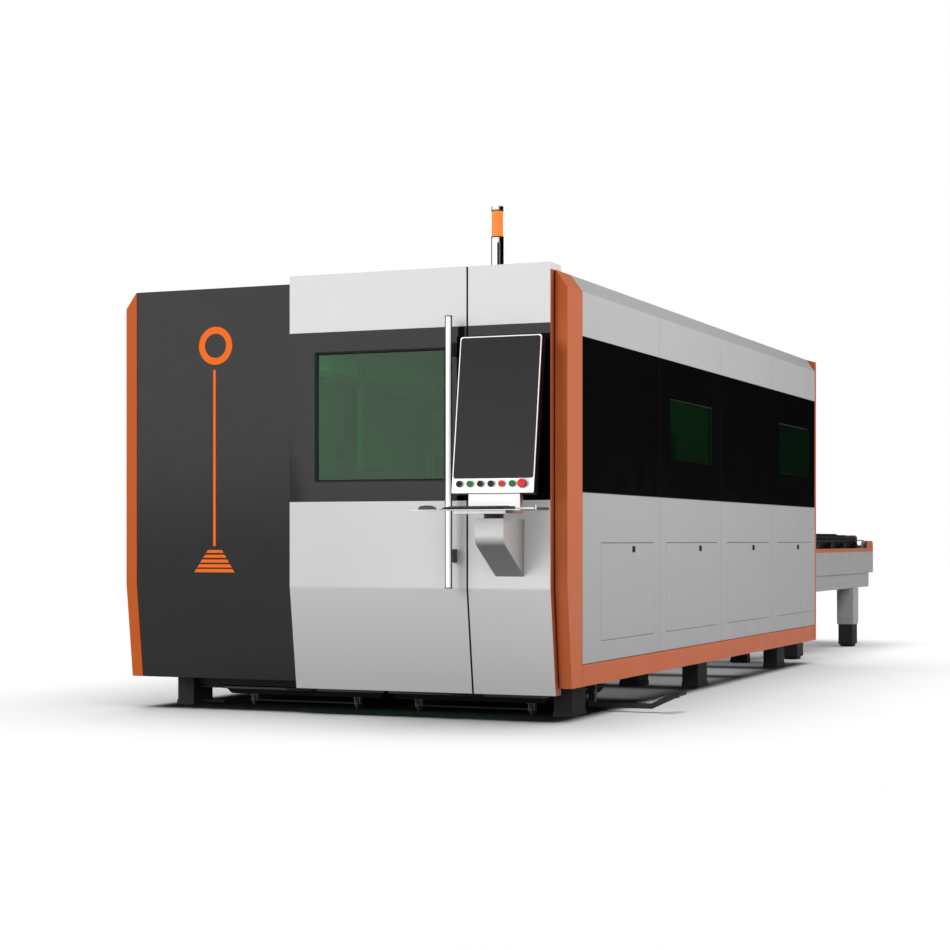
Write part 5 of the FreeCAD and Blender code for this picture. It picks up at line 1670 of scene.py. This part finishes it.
def world(front_low, high_up):
    w = bpy.data.worlds.new("studio")
    bpy.context.scene.world = w
    w.use_nodes = True
    nt = w.node_tree
    nt.nodes.clear()
    out = nt.nodes.new("ShaderNodeOutputWorld")
    tc = nt.nodes.new("ShaderNodeTexCoord")
    sep = nt.nodes.new("ShaderNodeSeparateXYZ")
    nt.links.new(tc.outputs["Generated"], sep.inputs[0])

    def math_(op, a, b, c=None):
        n = nt.nodes.new("ShaderNodeMath")
        n.operation = op
        for i, v in enumerate((a, b, c)):
            if v is None:
                continue
            if isinstance(v, bpy.types.NodeSocket):
                nt.links.new(v, n.inputs[i])
            else:
                n.inputs[i].default_value = v
        return n.outputs[0]

    def ramp(v, a, b, c, d):
        n = nt.nodes.new("ShaderNodeMapRange")
        n.interpolation_type = "SMOOTHSTEP"
        nt.links.new(v, n.inputs["Value"])
        for k, x in (("From Min", a), ("From Max", b), ("To Min", c), ("To Max", d)):
            n.inputs[k].default_value = x
        return n.outputs["Result"]
    # how far a direction points to the front left
    f = math_("ADD", math_("MULTIPLY", sep.outputs[0], -0.385),
              math_("MULTIPLY", sep.outputs[1], -0.923))
    front = math_("MULTIPLY", ramp(f, -0.15, 0.75, 0.0, 1.0),
                  ramp(sep.outputs[2], 0.15, 0.6, 1.0, 0.0))
    high = ramp(sep.outputs[2], 0.35, 0.95, 0.0, 1.0)
    level = math_("ADD", math_("MULTIPLY", front, front_low),
                  math_("MULTIPLY", high, high_up))
    bg = nt.nodes.new("ShaderNodeBackground")
    nt.links.new(level, bg.inputs["Strength"])
    white = nt.nodes.new("ShaderNodeBackground")
    white.inputs["Strength"].default_value = 1.0
    white.inputs["Color"].default_value = (1, 1, 1, 1)
    lp = nt.nodes.new("ShaderNodeLightPath")
    mix = nt.nodes.new("ShaderNodeMixShader")
    nt.links.new(lp.outputs["Is Camera Ray"], mix.inputs[0])
    nt.links.new(bg.outputs[0], mix.inputs[1])
    nt.links.new(white.outputs[0], mix.inputs[2])
    nt.links.new(mix.outputs[0], out.inputs["Surface"])


def link_light(o, name, only, skip):
    if only is None and skip is None:
        return
    c = bpy.data.collections.new(name + "_on")
    for q in (only or skip):
        c.objects.link(q)
    if skip is not None:
        for q in c.collection_objects:
            q.light_linking.link_state = "EXCLUDE"
    o.light_linking.receiver_collection = c


def area(name, at, to, size, size_y, power, only=None, skip=None):
    l = bpy.data.lights.new(name, "AREA")
    l.shape = "RECTANGLE"
    l.size, l.size_y, l.energy = size, size_y, power
    o = bpy.data.objects.new(name, l)
    o.location = at
    o.rotation_euler = (Vector(to) - Vector(at)).to_track_quat("-Z", "Y").to_euler()
    bpy.context.scene.collection.objects.link(o)
    o.visible_glossy = False
    o.visible_camera = False
    link_light(o, name, only, skip)
    return o


def sun(name, az, el, angle, strength, only=None, skip=None):
    """az from the front towards the right, el above the floor, both in degrees"""
    l = bpy.data.lights.new(name, "SUN")
    l.energy, l.angle = strength, math.radians(angle)
    o = bpy.data.objects.new(name, l)
    a, e = math.radians(az), math.radians(el)
    to = Vector((math.sin(a) * math.cos(e), -math.cos(a) * math.cos(e), math.sin(e)))
    o.rotation_euler = to.to_track_quat("Z", "Y").to_euler()
    o.location = to * 12.0
    bpy.context.scene.collection.objects.link(o)
    o.visible_glossy = False
    o.visible_camera = False
    link_light(o, name, only, skip)
    return o


def camera():
    c = bpy.data.cameras.new("camera")
    c.sensor_width = 36.0
    c.lens = 1996.25 / 950.0 * 36.0
    c.shift_y = 65.53 / 950.0
    c.clip_start, c.clip_end = 0.1, 300.0
    o = bpy.data.objects.new("camera", c)
    o.location = (wx(4599.0), wy(-9180.0), 0.900)
    o.rotation_euler = (math.radians(90), 0, math.radians(22.641))
    bpy.context.scene.collection.objects.link(o)
    bpy.context.scene.camera = o


FLOOR = [stage()]
WHITES = [NODES[n] for n in ("console_housing", "console_neck", "console_tray")]
WHITES += [bpy.data.objects["tray_edge"], bpy.data.objects["grab_handle"], NODES["door_handle"]]
ROOM = [NODES[n] for n in ("upper_side_panels", "roof_panels", "enclosure_frame", "band_panels",
                           "lower_side_panels", "rear_panel", "rear_uprights")]
world(1.72, 0.44)
sun("key", -28, 15, 35, 1.32, skip=FLOOR)
sun("right", 120, 15, 40, 0.99, skip=FLOOR)
sun("right_low", 60, 10, 40, 0.52, skip=FLOOR)
sun("floor_glow", 0, 90, 69, 44.5, only=FLOOR)
# light that falls through the open bed between its cross members
for i, (x0, x1, y0, y1, p) in enumerate(((-500, 1075, 1640, 2400, 6.5), (-500, 1075, 2740, 3510, 12.0),
                                         (-500, 1075, 3780, 4470, 14.0), (-500, 1075, 4730, 5270, 4.5))):
    at = (wx((x0 + x1) / 2), wy((y0 + y1) / 2), 0.085)
    o = area("bed_gap_%d" % i, at, (at[0], at[1], 0.0), 1, 1, p, only=FLOOR)
    o.rotation_euler = (0.0, 0.0, 0.0)
    o.data.size, o.data.size_y = (x1 - x0) / 1000.0, (y1 - y0) / 1000.0
area("right_high", (6.5, -3.0, 4.2), (1.10, -2.2, 1.9), 3.0, 2.0, 140.0, skip=FLOOR)
area("cabin_front", (wx(-250), wy(1250), 2.13), (wx(-450), wy(1250), 0.0), 1.2, 1.6, 46.0, only=ROOM)
area("cabin_rear", (wx(350), wy(4700), 2.13), (wx(750), wy(4900), 0.0), 1.0, 0.8, 26.0, only=ROOM)
area("console_fill", (-1.2, -7.6, 0.25), (wx(970), -4.3, 1.1), 1.6, 1.0, 95.0, only=WHITES)
camera()
view = bpy.context.scene.view_settings
view.view_transform = "Standard"
view.look = "None"
